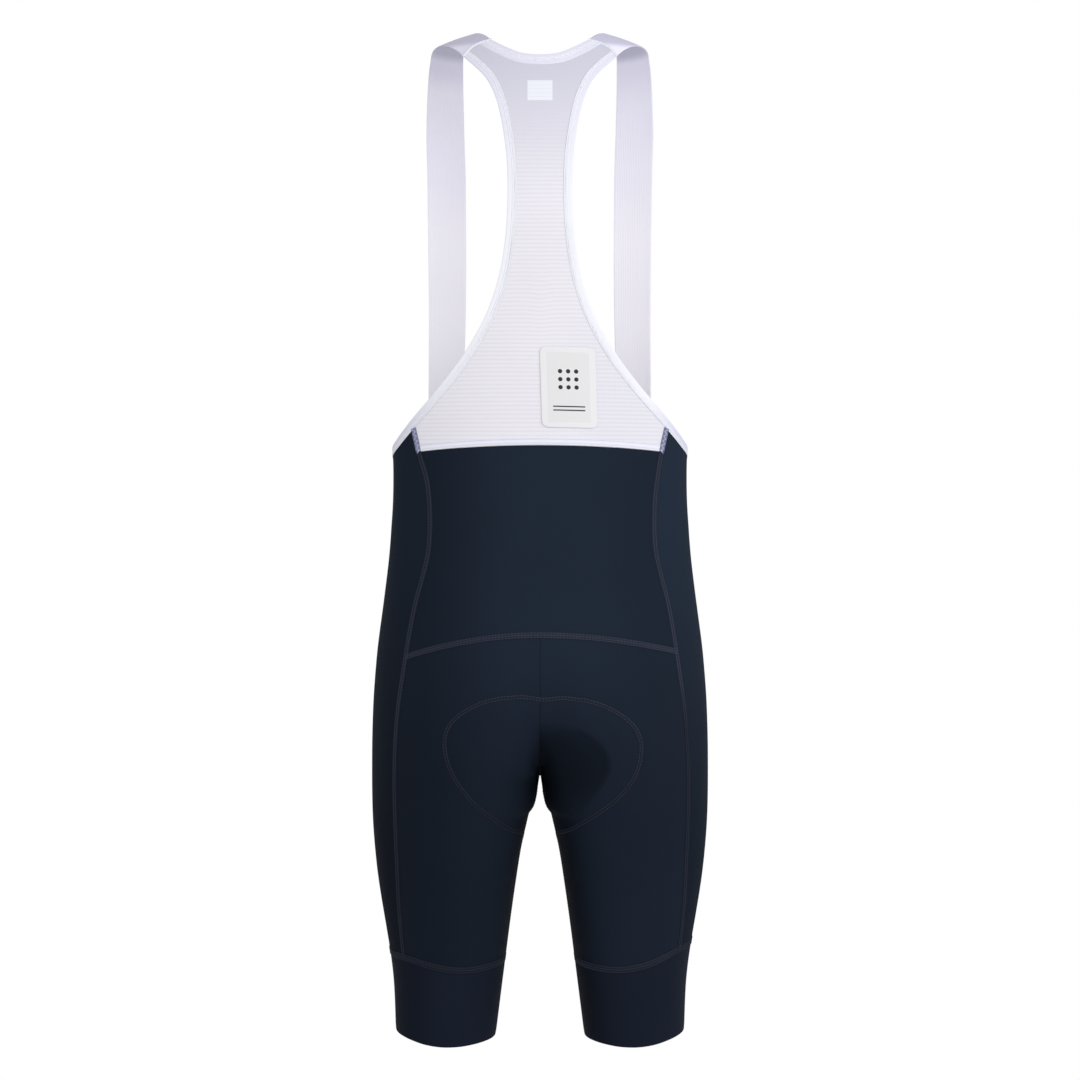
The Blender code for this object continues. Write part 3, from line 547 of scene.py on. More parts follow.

# Painted shade beside the cleft and inside the thighs (level, width and depth on the right, then the left).
CLEFT_SHADE = (
    (-652, 7, 0.0, 5, 0.0), (-678, 8, 0.45, 6, 0.30), (-700, 10, 0.68, 8, 0.42),
    (-722, 13, 0.62, 8, 0.48), (-738, 17, 0.56, 8, 0.48), (-765, 18, 0.55, 8, 0.42),
    (-813, 18, 0.60, 10, 0.34), (-890, 19, 0.58, 11, 0.30), (-960, 22, 0.55, 11, 0.25),
)


def relief(points):
    """How far the cloth stands proud of the form: over the pad, in its hollows and at the thighs."""
    across, y, level = np.moveaxis(points, -1, 0)
    raised = np.zeros_like(across)
    about = (level < PAD_LEVELS[1]) & (level > PAD_LEVELS[0])
    if about.any():
        spots = points[about]
        spots = spots - pad_shift(spots)
        away = near_line(folded(spots), lines.pad)
        raised[about] = np.where(inside_pad(spots), fall(away, PAD_BULGE, 0.0, PAD_BULGE_EDGE), 0.0)
        raised[about] -= ridge(away, *PAD_SEAM_RIDGE)
    reach, depth, _ = fold_at(level)
    crease = soft_step(reach + across, 0, FOLD_RIM)
    crease = crease * (FOLD_SHALLOW + fall(reach + across, 1 - FOLD_SHALLOW, 0, FOLD_FULL))
    raised -= np.where(y > 0, depth * crease * soft_step(-across, -FOLD_SLACK, 2.0), 0.0)
    low = (level < THIGH_TOP) & (level > THIGH_END)
    if low.any():
        spots = points[low]
        inward = -outward(spots)[..., 0] * np.sign(spots[..., 0] + 1e-9)
        drawn = np.where(np.abs(spots[..., 0]) < MIDDLE_STRIP, 1.0, soft_step(inward, *THIGH_FACING))
        drawn *= soft_step(-spots[..., 2], *THIGH_EASE)
        proud = size("inner", spots[..., 2]) - thigh_gap(spots[..., 2]) - WALL_AND_SEAM
        proud = np.clip(proud, *THIGH_PROUD)
        raised[low] += drawn * (proud - raised[low])
        under = soft_step(-outward(spots)[..., 2], *UNDER_FACING)
        tuck = np.array(CLEFT)
        raised[low] -= under * np.interp(np.abs(spots[..., 0]), tuck[:, 0], tuck[:, 1])
    return raised


def thigh_gap(level):
    """Distance from the middle to the inner thigh at a level."""
    rows = through(THIGH_GAP)[::-1]
    return np.interp(level, rows[:, 0], rows[:, 1])


def fold_at(level):
    """Reach, depth and shade of the fold under the seat at a level."""
    rows = through(FOLD)[::-1]
    return [np.interp(level, rows[:, 0], rows[:, column], 0.0, 0.0) for column in (1, 2, 3)]


def navy_shade(points):
    """Share of painted shade on the navy knit: towards the sides and the legs, and under the seat."""
    across, y, level = np.moveaxis(points, -1, 0)
    fallen = fall(across, *NAVY_LEFT) + fall(-across, *NAVY_RIGHT)
    fallen = fallen + fall(-level, *NAVY_LOWER) * (1 - fall(np.abs(across), *NAVY_LOWER_ASIDE))
    reach, _, shade = fold_at(level)
    folded_in = soft_step(reach + across, *FOLD_SHADE_EDGE) * soft_step(-across, *FOLD_SHADE_MIDDLE)
    light = (1 - fallen) * (1 - shade * folded_in) * cleft_light(across, level)
    return np.where(y > 0, 1 - light, FRONT_FALL)


def cleft_light(across, level):
    """Share of the knit's tone that is left under the painted shade beside the cleft and on the inside of the
    thighs.
    """
    rows = np.array(CLEFT_SHADE, float)[::-1]
    inner = np.where(level < THIGH_GAP[-1][0], size("inner", level) - 1, thigh_gap(level))
    away = np.maximum(np.abs(across) - np.maximum(inner, 0), 0)
    sizes = [np.interp(level, rows[:, 0], values, values[0], 0.0) for values in rows.T[1:]]
    wide, deep = (np.where(across < 0, right, left) for right, left in zip(sizes[:2], sizes[2:]))
    return 1 - ridge(away, deep, 0.0, np.maximum(wide, 1.0))


def band_shade(points):
    """Share of painted shade on a leg band: inside the thighs, and towards the wearer's left."""
    across, y, level = np.moveaxis(points, -1, 0)
    light = (1 - fall(across, *BAND_LEFT)) * cleft_light(across, level)
    return np.where(y > 0, 1 - light, FRONT_FALL)


def side_shade(points):
    """Share of painted shade on the side knit: down the leg, and all of it on the wearer's left."""
    across, _, level = np.moveaxis(points, -1, 0)
    return 1 - (1 - fall(-level, *SIDE_LOWER)) * np.where(across > 0, 1 - SIDE_LEFT, 1.0)


def pad_shift(points):
    """How far the stitched outline of the pad lies to the wearer's right, and lower there."""
    shift = np.zeros(points.shape)
    share = soft_step(points[..., 2], *PAD_SHIFT_EASE) * (points[..., 1] > 0)
    shift[..., 0], shift[..., 2] = -PAD_SHIFT * share, PAD_TILT * share * points[..., 0]
    return shift


def hung(points):
    """Points moved along the form as the garment hangs, not quite even on its two sides."""
    across, _, level = np.moveaxis(points, -1, 0)
    low = 1 - soft_step(-level, *HANG_END)
    moved = points.copy()
    moved[..., 0] -= fall(np.abs(across), HANG_SHIFT, *SHIFT_ASIDE) * soft_step(-level, *SHIFT_EASE) * low
    moved[..., 2] -= HANG_DROP * (across / HANG_HALF) ** 3 * soft_step(-level, *DROP_EASE) * low
    return settle(moved)


def on_skin(line, half):
    """A line of the form moved out to the face of the cloth."""
    return line + (relief(line) + half)[..., None] * outward(line)


# ---------------------------------------------------------------- cloth

def steps(length, spacing, stops=(), rims=(True, True)):
    """Shares of a length in even steps, with short ones where a rim rounds off and at the stops."""
    ends = [0.0, *(stop * length for stop in stops), length]
    whole = [np.array([0.0])]
    for start, stop in zip(ends[:-1], ends[1:]):
        whole.append(np.linspace(start, stop, max(1, round((stop - start) / spacing)) + 1)[1:])
    places = np.concatenate(whole)
    extra = []
    if rims[0]:
        extra += [RIM_FIRST * RIM, RIM]
    if rims[1]:
        extra += [length - RIM, length - RIM_FIRST * RIM]
    return np.unique(np.round(np.concatenate([places, extra]), 4)) / length


def filled(west, east, north, south, u, v, fade=1):
    """Places filled in between four edges, at shares u across and v down."""
    across, down = u[None, :, None], v[:, None, None]
    flat = (1 - across) * west[:, None] + across * east[:, None]
    flat = flat + (1 - down) ** fade * (north[None] - (1 - across) * west[0] - across * east[0])
    return flat + down ** fade * (south[None] - (1 - across) * west[-1] - across * east[-1])


def patch(left, right, top, bottom, u, v, lowest=-90.0, fade=3):
    """Points on the form, filled in between four edges that lie on it."""
    edges = share_of(left, v), share_of(right, v), share_of(top, u), share_of(bottom, u)
    flat = filled(*(turned(edge, lowest) for edge in edges), u, v, fade)
    grid = at(flat[..., 0], flat[..., 1])
    grid[:, 0], grid[:, -1], grid[0], grid[-1] = edges
    return grid


def parted(grid, sides="left right top bottom"):
    """The grid with its named sides drawn in by half the gap between pieces."""
    edges = {"left": (np.s_[:, 0], np.s_[:, 1]), "right": (np.s_[:, -1], np.s_[:, -2]),
             "top": (np.s_[0], np.s_[1]), "bottom": (np.s_[-1], np.s_[-2])}
    moved = grid.copy()
    for side in sides.split():
        edge, neighbour = edges[side]
        along = np.gradient(grid[edge], axis=0)
        aside = np.cross(outward(grid[edge]), along)
        aside /= np.maximum(np.linalg.norm(aside, axis=-1, keepdims=True), 1e-9)
        inwards = np.sign(np.sum(aside * (grid[neighbour] - grid[edge]), -1, keepdims=True))
        moved[edge] += SEAM_GAP / 2 * inwards * aside
    return moved


def both_halves(grid):
    """A left half that starts at the middle, with its mirror image before it."""
    flipped = grid[:, :0:-1].copy()
    if grid.ndim == 3 and grid.shape[-1] == 3:
        flipped[..., 0] *= -1
        grid = grid.copy()
        grid[:, 0, 0] = 0
    return np.concatenate([flipped, grid], axis=1)


def rounded(thickness, *distances):
    """Half the wall's thickness, less towards an edge so that it looks rounded."""
    near = np.clip(np.minimum.reduce(np.broadcast_arrays(*distances)) / RIM, 0, 1)
    return thickness / 2 * (RIM_EDGE + (1 - RIM_EDGE) * np.sqrt(1 - (1 - near) ** 2))


def closed_round(grid, ring):
    """The grid, with its first column once more at its end where it is a ring."""
    return np.concatenate([grid, grid[:, :1]], axis=1) if ring else grid


def cloth_map(grid, ring=False):
    """Places of the grid's points on the flat cloth, in metres."""
    closed = closed_round(grid, ring)
    across = np.cumsum(np.linalg.norm(np.diff(closed, axis=1, prepend=closed[:, :1]), axis=-1), axis=1)
    down = np.cumsum(np.linalg.norm(np.diff(closed, axis=0, prepend=closed[:1]), axis=-1), axis=0)
    if not ring:
        across = across - across[:, across.shape[1] // 2][:, None]
    return np.stack([across, -down], -1) * MM


def scene_object(name, data):
    thing = bpy.data.objects.new(name, data)
    bpy.context.scene.collection.objects.link(thing)
    return thing


def mesh_object(name, points, faces, material, uvs=None):
    """A smooth mesh in metres, with the cloth's flat map where it has one."""
    mesh = bpy.data.meshes.new(name)
    mesh.from_pydata(points.tolist(), [], faces.tolist())
    if uvs is not None:
        layer = mesh.uv_layers.new(name="cloth")
        layer.data.foreach_set("uv", uvs.astype(np.float32).ravel())
    mesh.shade_smooth()
    mesh.materials.append(material)
    return scene_object(name, mesh)


def wall(name, grid, half, material, lift=0.0, ring=False, flat=None, shade=None):
    """Closed wall of cloth about a grid of points, its two skins moved straight out of the form."""
    rows, columns = grid.shape[:2]
    direction = outward(grid)
    half = np.broadcast_to(np.asarray(half, float), (rows, columns))[..., None]
    lift = np.broadcast_to(np.asarray(lift, float), (rows, columns))[..., None]
    skins = np.stack([grid + (lift + half) * direction, grid + (lift - half) * direction])
    number = np.arange(2 * rows * columns).reshape(2, rows, columns)
    place = np.arange(rows * (columns + ring)).reshape(rows, columns + ring)
    if ring:
        number = np.concatenate([number, number[:, :, :1]], axis=2)
    outer, inner = number

    def strips(a, b):
        """Faces between two rows of corners."""
        return np.stack([a[:-1], b[:-1], b[1:], a[1:]], -1).reshape(-1, 4)

    def skin(layer, order):
        return np.concatenate([strips(layer[i], layer[i + 1])[:, order] for i in range(rows - 1)])

    there, back = [0, 1, 2, 3], [0, 3, 2, 1]
    faces = [skin(outer, there), skin(inner, back), strips(inner[0], outer[0]),
             strips(outer[-1], inner[-1])]
    spots = [skin(place, there), skin(place, back), strips(place[0], place[0]),
             strips(place[-1], place[-1])]
    if not ring:
        faces += [strips(inner[:, -1], outer[:, -1]), strips(outer[:, 0], inner[:, 0])]
        spots += [strips(place[:, -1], place[:, -1]), strips(place[:, 0], place[:, 0])]
    faces, spots = np.concatenate(faces), np.concatenate(spots)
    facing = np.cross(skins[0, 1:, 1:] - skins[0, :-1, :-1], skins[0, :-1, 1:] - skins[0, 1:, :-1])
    if np.sum(facing * direction[:-1, :-1]) < 0:
        faces, spots = faces[:, back], spots[:, back]
    flat = cloth_map(grid, ring) if flat is None else flat
    uvs = flat.reshape(-1, 2)[spots.ravel()]
    thing = mesh_object(name, skins.reshape(-1, 3) * MM, faces, material, uvs)
    # The share of painted shade at each point, for the material to darken the cloth by.
    if shade is not None:
        layer = thing.data.attributes.new("shade", "FLOAT", "POINT")
        layer.data.foreach_set("value", np.concatenate([shade, shade]).astype(np.float32).ravel())
    return thing


def declare(thing, node):
    """Has a piece ride on the body and stand for its CAD node."""
    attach(thing, "root")
    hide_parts(node)


def declare_sheet(grid, stretch, ring=False):
    """Works out how wide and high a piece of cloth is cut, smaller than it is worn by its stretch (across,
    down); nothing is done with them.
    """
    closed = closed_round(grid, ring)
    wide = np.linalg.norm(np.diff(closed, axis=1), axis=-1).sum(1).max() * MM / stretch[0]
    high = np.linalg.norm(np.diff(closed, axis=0), axis=-1).sum(0).max() * MM / stretch[1]
    wide, high = max(wide, NARROWEST_SHEET), max(high, NARROWEST_SHEET)


def sheet_piece(node, grid, half, material, slot, stretch, rests_on, cut=None, **options):
    """A wall of cloth that stands for a CAD node; the size it is cut at is worked out from the grid, or from
    another, and not kept.
    """
    piece = wall(f"{node}_dressed", grid, half, material, **options)
    declare(piece, node)
    declare_sheet(grid if cut is None else cut, stretch, options.get("ring", False))


def mirrored(grid, side):
    """Points of the left half (1) or their mirror places on the right (-1)."""
    return grid * np.array((side, 1.0, 1.0))


def both_sides(*curves):
    """Each curve of the left half, and its mirror image."""
    return [mirrored(curve, hand) for curve in curves for hand, _ in HANDS]


# ---------------------------------------------------------------- nodes

class Graph:
    """Adds nodes to a tree and joins them."""

    def __init__(self, tree):
        self.tree = tree

    def add(self, kind, inputs=None, **settings):
        node = self.tree.nodes.new(kind)
        for name, value in settings.items():
            setattr(node, name, value)
        for name, value in (inputs or {}).items():
            if isinstance(value, bpy.types.NodeSocket):
                self.tree.links.new(value, node.inputs[name])
            else:
                node.inputs[name].default_value = value
        return node

    def out(self, kind, inputs=None, **settings):
        """The first output of a new node."""
        return self.add(kind, inputs, **settings).outputs[0]

    def math(self, operation, *values):
        return self.out("ShaderNodeMath", dict(enumerate(values)), operation=operation)

    def times(self, one, other):
        return self.math("MULTIPLY", one, other)

    def vector(self, operation, *values, scale=None):
        inputs = dict(enumerate(values))
        if scale is not None:
            inputs["Scale"] = scale
        return self.out("ShaderNodeVectorMath", inputs, operation=operation)

    def ramp(self, value, low, high, start=0.0, stop=1.0):
        """The value's range from low to high, smoothly turned to start to stop."""
        return self.out("ShaderNodeMapRange", {0: value, 1: low, 2: high, 3: start, 4: stop},
                        interpolation_type="SMOOTHSTEP")

    def wave(self, turns, kind="SINE"):
        """A wave from 0 to 1."""
        return self.math("MULTIPLY_ADD", self.math(kind, turns), 0.5, 0.5)

    def flat(self):
        """Places across and down the cloth, in metres."""
        mapped = self.out("ShaderNodeUVMap", uv_map="cloth")
        return list(self.add("ShaderNodeSeparateXYZ", {0: mapped}).outputs)[:2]

    def place(self):
        """Places in space, in metres."""
        whole = self.add("ShaderNodeTexCoord").outputs["Object"]
        return self.add("ShaderNodeSeparateXYZ", {0: whole}).outputs

    def noise(self, scale, detail):
        """Smooth noise in space."""
        whole = self.add("ShaderNodeTexCoord").outputs["Object"]
        return self.out("ShaderNodeTexNoise", {"Vector": whole, "Scale": scale, "Detail": detail})

    def bump(self, shader, height, distance, strength):
        """Raises the shader's face."""
        raised = self.out("ShaderNodeBump", {"Height": height, "Distance": distance, "Strength": strength})
        self.tree.links.new(raised, shader.inputs["Normal"])

    def mix(self, share, one, other):
        """A colour between two."""
        node = self.add("ShaderNodeMix", {0: share, 6: one, 7: other}, data_type="RGBA")
        return node.outputs[2]


def colour(values):
    return (*values, 1.0)


def scaled(values, share):
    """A colour times a number."""
    return [share * value for value in values]


def multiplied(values, shade_colour):
    """A colour times another."""
    return [value * part for value, part in zip(values, shade_colour)]


def shader_group(name, inputs, outputs):
    """A new group of shader nodes with named sockets, its graph, its input and its output node."""
    tree = bpy.data.node_groups.new(name, "ShaderNodeTree")
    for label, kind, value in inputs:
        socket = tree.interface.new_socket(label, in_out="INPUT", socket_type=kind)
        socket.default_value = value
    for label, kind in outputs:
        tree.interface.new_socket(label, in_out="OUTPUT", socket_type=kind)
    graph = Graph(tree)
    return graph, graph.add("NodeGroupInput"), graph.add("NodeGroupOutput")


FLOAT, COLOUR, WHOLE, FINISH = (f"NodeSocket{kind}" for kind in ("Float", "Color", "Int", "Material"))
TURN = 2 * math.pi
BLACK = (0.0, 0.0, 0.0, 1.0)

# Changes of tone: scale of the flecks, share of the slow cloud, and the range that is turned to tones.
FLECK_SCALE, CLOUD_SHARE, TONE_RANGE, TONE_ROUGHER = 1400.0, 0.65, (0.35, 0.65), 0.08
BEND_SCALE, WALE_SHARE, KNIT_STRENGTH = 300.0, 0.6, 0.6     # of the knit
# The net: where the dull line between two ribs and the holes in it begin and are whole, how they
# fade at the neck, and how much of each shows.
LINE_EDGE, HOLE_EDGE, HOLE_PITCH, NET_CLEAR = (0.45, 0.05), (-0.3, 0.7), 0.0017, (-0.075, -0.15, 0.25, 1.0)
LINE_SHARE, HOLE_SHARE, LABEL_SEEN_SHARE, LABEL_SEEN_EDGE = 0.24, 0.10, 0.8, (0.4, -0.6)
NET_BUMP, WEBBING_BUMP = (0.00012, 0.3), (0.0002, 0.5)      # distance, strength
WEBBING_DARK, MIDDLE_EASE = 0.55, (-0.02, 0.02)


def tone_group():
    """Slow and fine changes of tone between two colours, and of the roughness."""
    graph, inside, out = shader_group(
        "cloth_tone",
        [("Main", COLOUR, (0.5, 0.5, 0.5, 1)), ("Second", COLOUR, (0.4, 0.4, 0.4, 1)),
         ("Cloud Size", FLOAT, 0.08), ("Amount", FLOAT, 0.5), ("Roughness", FLOAT, 0.8)],
        [("Color", COLOUR), ("Roughness", FLOAT)])
    cloud = graph.noise(graph.math("DIVIDE", 1.0, inside.outputs["Cloud Size"]), 3.0)
    fleck = graph.noise(FLECK_SCALE, 1.0)
    both = graph.math("ADD", graph.times(cloud, CLOUD_SHARE), graph.times(fleck, 1 - CLOUD_SHARE))
    share = graph.times(graph.ramp(both, *TONE_RANGE), inside.outputs["Amount"])
    mixed = graph.mix(share, inside.outputs["Main"], inside.outputs["Second"])
    graph.tree.links.new(mixed, out.inputs["Color"])
    rough = graph.math("ADD", inside.outputs["Roughness"], graph.times(share, TONE_ROUGHER))
    graph.tree.links.new(rough, out.inputs["Roughness"])
    return graph.tree


def knit_group():
    """Height of a knit: wales that run down the cloth, crossed by courses, from its flat map."""
    graph, inside, out = shader_group(
        "knit_height",
        [("Wale Spacing", FLOAT, 0.0008), ("Course Spacing", FLOAT, 0.0006), ("Wander", FLOAT, 0.3)],
        [("Height", FLOAT)])
    across, along = graph.flat()
    bend = graph.math("SUBTRACT", graph.noise(BEND_SCALE, 1.0), 0.5)
    bend = graph.times(bend, inside.outputs["Wander"])
    waves = []
    for value, spacing in ((across, "Wale Spacing"), (along, "Course Spacing")):
        count = graph.math("ADD", graph.math("DIVIDE", value, inside.outputs[spacing]), bend)
        waves.append(graph.math("SINE", graph.times(count, TURN)))
    height = graph.math("ADD", graph.times(waves[0], WALE_SHARE), graph.times(waves[1], 1 - WALE_SHARE))
    graph.tree.links.new(graph.math("MULTIPLY_ADD", height, 0.5, 0.5), out.inputs["Height"])
    return graph.tree


def shaded_along(graph, tone, axis, start, stop, shade_colour):
    """The tone, turning to a painted shade colour from one place to another along an axis, in metres."""
    return graph.mix(graph.ramp(graph.place()[axis], start, stop), tone, colour(shade_colour))


def cloth_material(kind, name, main, second, amount=0.3, cloud=0.08, roughness=0.8, knit=None,
                   bump=0.0002, specular=0.1):
    """Makes and keeps a material of cloth: its tones, and a knit on its flat map where it has one.

    Gives its graph, its shader and its tone without the painted shade.
    """
    material = materials[kind] = bpy.data.materials.new(name)
    material.use_nodes = True
    graph = Graph(material.node_tree)
    shader = material.node_tree.nodes["Principled BSDF"]
    tone = graph.add("ShaderNodeGroup", node_tree=groups["tone"])
    values = {"Main": colour(main), "Second": colour(second), "Cloud Size": cloud, "Amount": amount,
              "Roughness": roughness}
    for label, value in values.items():
        tone.inputs[label].default_value = value
    link = material.node_tree.links.new
    # Painted shade: the cloth is darkened towards black by the share in the piece's shade attribute.
    painted_shade = graph.add("ShaderNodeAttribute", attribute_name="shade").outputs["Fac"]
    link(graph.mix(painted_shade, tone.outputs["Color"], BLACK), shader.inputs["Base Color"])
    link(tone.outputs["Roughness"], shader.inputs["Roughness"])
    shader.inputs["Specular IOR Level"].default_value = specular
    if knit:
        face = graph.add("ShaderNodeGroup", node_tree=groups["knit"])
        face.inputs["Wale Spacing"].default_value = knit[0]
        face.inputs["Course Spacing"].default_value = knit[1]
        graph.bump(shader, face.outputs["Height"], bump, KNIT_STRENGTH)
    return graph, shader, tone.outputs["Color"]


def net_material(colours):
    """Ribbed net: light ribs with a dull line between them, partly the holed knit's own colour and partly
    painted shade in the groove, and fine holes along the lines.
    """
    graph, shader, tone = cloth_material("net", "ribbed_net", colours.net, scaled(colours.net, 0.93),
                                         roughness=0.85)
    across, along = graph.flat()
    place = graph.place()
    rib = graph.math("DIVIDE", along, RIB_PITCH * MM)
    wave = graph.wave(graph.times(rib, TURN), "COSINE")
    between = graph.ramp(wave, *LINE_EDGE)
    dots = graph.ramp(graph.math("SINE", graph.times(across, TURN / HOLE_PITCH)), *HOLE_EDGE)
    line = graph.times(between, graph.math("MULTIPLY_ADD", dots, 0.5, 0.5))
    clear = graph.ramp(place[2], *NET_CLEAR)
    line = graph.times(line, clear)
    # Painted shade: the net darker towards the wearer's right and towards its top.
    ground = shaded_along(graph, tone, 0, *NET_RIGHT, multiplied(colours.net, NET_RIGHT_SHADE))
    ground = shaded_along(graph, ground, 2, *NET_TOP, multiplied(colours.net, NET_TOP_SHADE))
    seen = graph.mix(graph.times(line, LINE_SHARE), ground, colour(colours.net_line))
    behind = None
    for axis, centre, size in zip((0, 2), NECK_LABEL_CENTRE, NECK_LABEL_SIZE):
        away = graph.math("ABSOLUTE", graph.math("SUBTRACT", place[axis], centre * MM))
        inside = graph.ramp(away, *((size / 2 + edge) * MM for edge in LABEL_SEEN_EDGE))
        behind = inside if behind is None else graph.times(behind, inside)
    seen = graph.mix(graph.times(behind, LABEL_SEEN_SHARE), seen, colour(colours.neck_label_seen))
    graph.tree.links.new(seen, shader.inputs["Base Color"])
    open_share = graph.times(graph.times(between, dots), graph.times(clear, HOLE_SHARE))
    graph.tree.links.new(graph.math("SUBTRACT", 1.0, open_share), shader.inputs["Alpha"])
    graph.bump(shader, wave, *NET_BUMP)


def webbing_material(kind, name, main, second_share, pitch, shade, painted_shades):
    """Elastic with fine ribs of one pitch along the cloth, and its painted shade."""
    graph, shader, tone = cloth_material(kind, name, main, scaled(main, second_share), roughness=0.75,
                                         specular=0.2)
    wave = graph.wave(graph.times(graph.flat()[0], TURN / pitch))
    low = graph.times(graph.ramp(wave, 0.5, 0.0), shade)
    place = graph.place()
    seen = tone
    for axis, start, stop, *sides in painted_shades:
        right, left = (colour(multiplied(main, side)) for side in sides)
        shade_colour = graph.mix(graph.ramp(place[0], *MIDDLE_EASE), right, left)
        seen = graph.mix(graph.ramp(place[axis], start, stop), seen, shade_colour)
    # Painted shade in the grooves between the ribs.
    seen = graph.mix(low, seen, colour(scaled(main, WEBBING_DARK)))
    graph.tree.links.new(seen, shader.inputs["Base Color"])
    graph.bump(shader, wave, *WEBBING_BUMP)


def label_material(colours):
    """Label with a clear border, a pale field and a plain print of dots and two rules."""
    graph, shader, tone = cloth_material("label", "label_print", colours.label,
                                         scaled(colours.label, 0.95), roughness=0.6, specular=0.3)
    across, up = graph.flat()

    def within(value, centre, half):
        away = graph.math("ABSOLUTE", graph.math("SUBTRACT", value, centre))
        return graph.ramp(away, half + PRINT_EDGE, half - PRINT_EDGE)

    def block(centre, half_wide, half_high):
        return graph.times(within(across, 0.0, half_wide), within(up, centre, half_high))

    bordered = graph.mix(block(0.0, *PRINT_FIELD), colour(colours.label_border), tone)
    marks = [block(level, *PRINT_RULE) for level in PRINT_RULES]
    for y in PRINT_DOTS_UP:
        for x in PRINT_DOTS_ACROSS:
            aside, above = (graph.math("POWER", graph.math("SUBTRACT", value, spot), 2.0)
                            for value, spot in ((across, x), (up, y)))
            away = graph.math("SQRT", graph.math("ADD", aside, above))
            marks.append(graph.ramp(away, *PRINT_DOT))
    ink = marks[0]
    for mark in marks[1:]:
        ink = graph.math("MAXIMUM", ink, mark)
    graph.tree.links.new(graph.mix(ink, bordered, colour(colours.ink)), shader.inputs["Base Color"])


# Plain cloths: kind, name, its colour among the settings, share of it in the second tone, and what
# else differs.
CLOTHS = (
    ("navy", "navy_knit", "navy", 0.6,
     {"amount": 0.2, "cloud": 0.12, "knit": (0.0009, 0.0007), "specular": 0.04}),
    ("side", "side_knit", "side", 0.7,
     {"amount": 0.2, "cloud": 0.12, "knit": (0.0008, 0.0006), "specular": 0.02}),
    ("band", "band_knit", "band", 0.8, {"amount": 0.2, "knit": (0.0011, 0.0006), "specular": 0.04}),
    ("pad", "pad_fabric", "pad", 0.75, {"knit": (0.0014, 0.0012), "bump": 0.0004}),
    ("plain_label", "label_plain", "label", 0.96, {"roughness": 0.6}),
    ("waist_band", "waist_band", "waist", 0.95, {}),
    ("white_thread", "white_thread", "white_thread", 0.92, {}),
    ("lilac_band", "lilac_band", "lilac_band", 0.85, {}),
    ("lilac_thread", "lilac_thread", "lilac_thread", 0.8, {}),
)

# Dark threads and seams: kind, its colour among the settings, and share of it.
SEAM_CLOTHS = (
    ("seam", "seam", 1.0), ("seam_band", "seam_band", 1.0),
    ("seam_dim", "seam", 0.6), ("seam_faint", "seam_band", 0.75),
)
SEAM_LEFT_SHADE = 0.76                    # share of its colour on the wearer's left

# Where painted shade comes in, from one place to another in metres, and the net's painted shade there: darker
# at its top and on the wearer's right.
NET_TOP, NET_RIGHT = (-0.185, -0.02), (-0.01, -0.08)
NET_TOP_SHADE, NET_RIGHT_SHADE = (0.73, 0.74, 0.80), (0.925, 0.935, 0.945)
SEAM_LEFT, SEAM_LOW, SEAM_LOW_SHARE = (-0.02, 0.11), (-0.60, -0.80), 0.32
SEAM_BESIDE, SEAM_BESIDE_LOW, SEAM_BESIDE_SHARE = (-0.105, -0.135), (-0.60, -0.67), 0.42

# Painted shade on the white elastics: the axis along which each comes in, from where to where in metres, and
# its shares of the cloth's colour on the wearer's right and left.
SAME = (1.0, 1.0, 1.0)
TAPE_SHADES = (
    (2, *NET_TOP, (0.86, 0.86, 0.92), (0.84, 0.84, 0.91)),
    (0, 0.085, 0.145, SAME, (0.76, 0.76, 0.84)),
    (0, -0.10, -0.135, (0.75, 0.76, 0.87), SAME),
)
STRAP_SHADES = (
    (2, -0.60, -0.55, SAME, (0.96, 0.96, 0.965)),
    (2, -0.19, -0.10, (0.915, 0.92, 0.96), (0.89, 0.89, 0.94)),
    (2, -0.09, -0.05, (0.935, 0.94, 1.0), (0.885, 0.88, 0.925)),
    (2, -0.042, -0.018, (0.915, 0.905, 1.0), (0.75, 0.75, 0.83)),
    (2, -0.0155, -0.008, (0.59, 0.59, 0.69), (0.53, 0.53, 0.61)),
)

# The label's print, in metres: how soft its edges are, half the sizes of its field and of a rule, the
# rules' places, a dot's outer and inner radius, and the dots' places up and across.
PRINT_EDGE, PRINT_FIELD, PRINT_RULE = 0.00025, (0.0200, 0.0328), (0.0150, 0.0006)
PRINT_RULES, PRINT_DOT = (-0.0180, -0.0215), (0.0023, 0.0018)
PRINT_DOTS_UP, PRINT_DOTS_ACROSS = (0.0150, 0.0075, 0.0), (-0.0075, 0.0, 0.0075)

# Elastics: kind, name, its colour among the settings, share of it in the second tone, the pitch of its fine
# ribs in metres, how dark the painted shade between them is, and its painted shade.
ELASTICS = (
    ("tape", "binding_elastic", "tape", 0.94, 0.0016, 0.10, TAPE_SHADES),
    ("strap", "strap_elastic", "strap", 0.95, 0.0018, 0.06, STRAP_SHADES),
)

groups, materials = {}, {}


def seam_material(kind, main):
    """Thread or seam of the dark cloth, with painted shade on the wearer's left, low down and at the thigh's
    side.
    """
    graph, shader, tone = cloth_material(kind, f"{kind}_cloth", main, scaled(main, 0.85), specular=0.04)
    seen = shaded_along(graph, tone, 0, *SEAM_LEFT, scaled(main, SEAM_LEFT_SHADE))
    place = graph.place()
    low = graph.times(graph.ramp(place[2], *SEAM_LOW), SEAM_LOW_SHARE)
    beside_thigh = graph.times(graph.ramp(place[0], *SEAM_BESIDE),
                              graph.ramp(place[2], *SEAM_BESIDE_LOW))
    low = graph.math("MAXIMUM", low, graph.times(beside_thigh, SEAM_BESIDE_SHARE))
    graph.tree.links.new(graph.mix(low, seen, BLACK), shader.inputs["Base Color"])


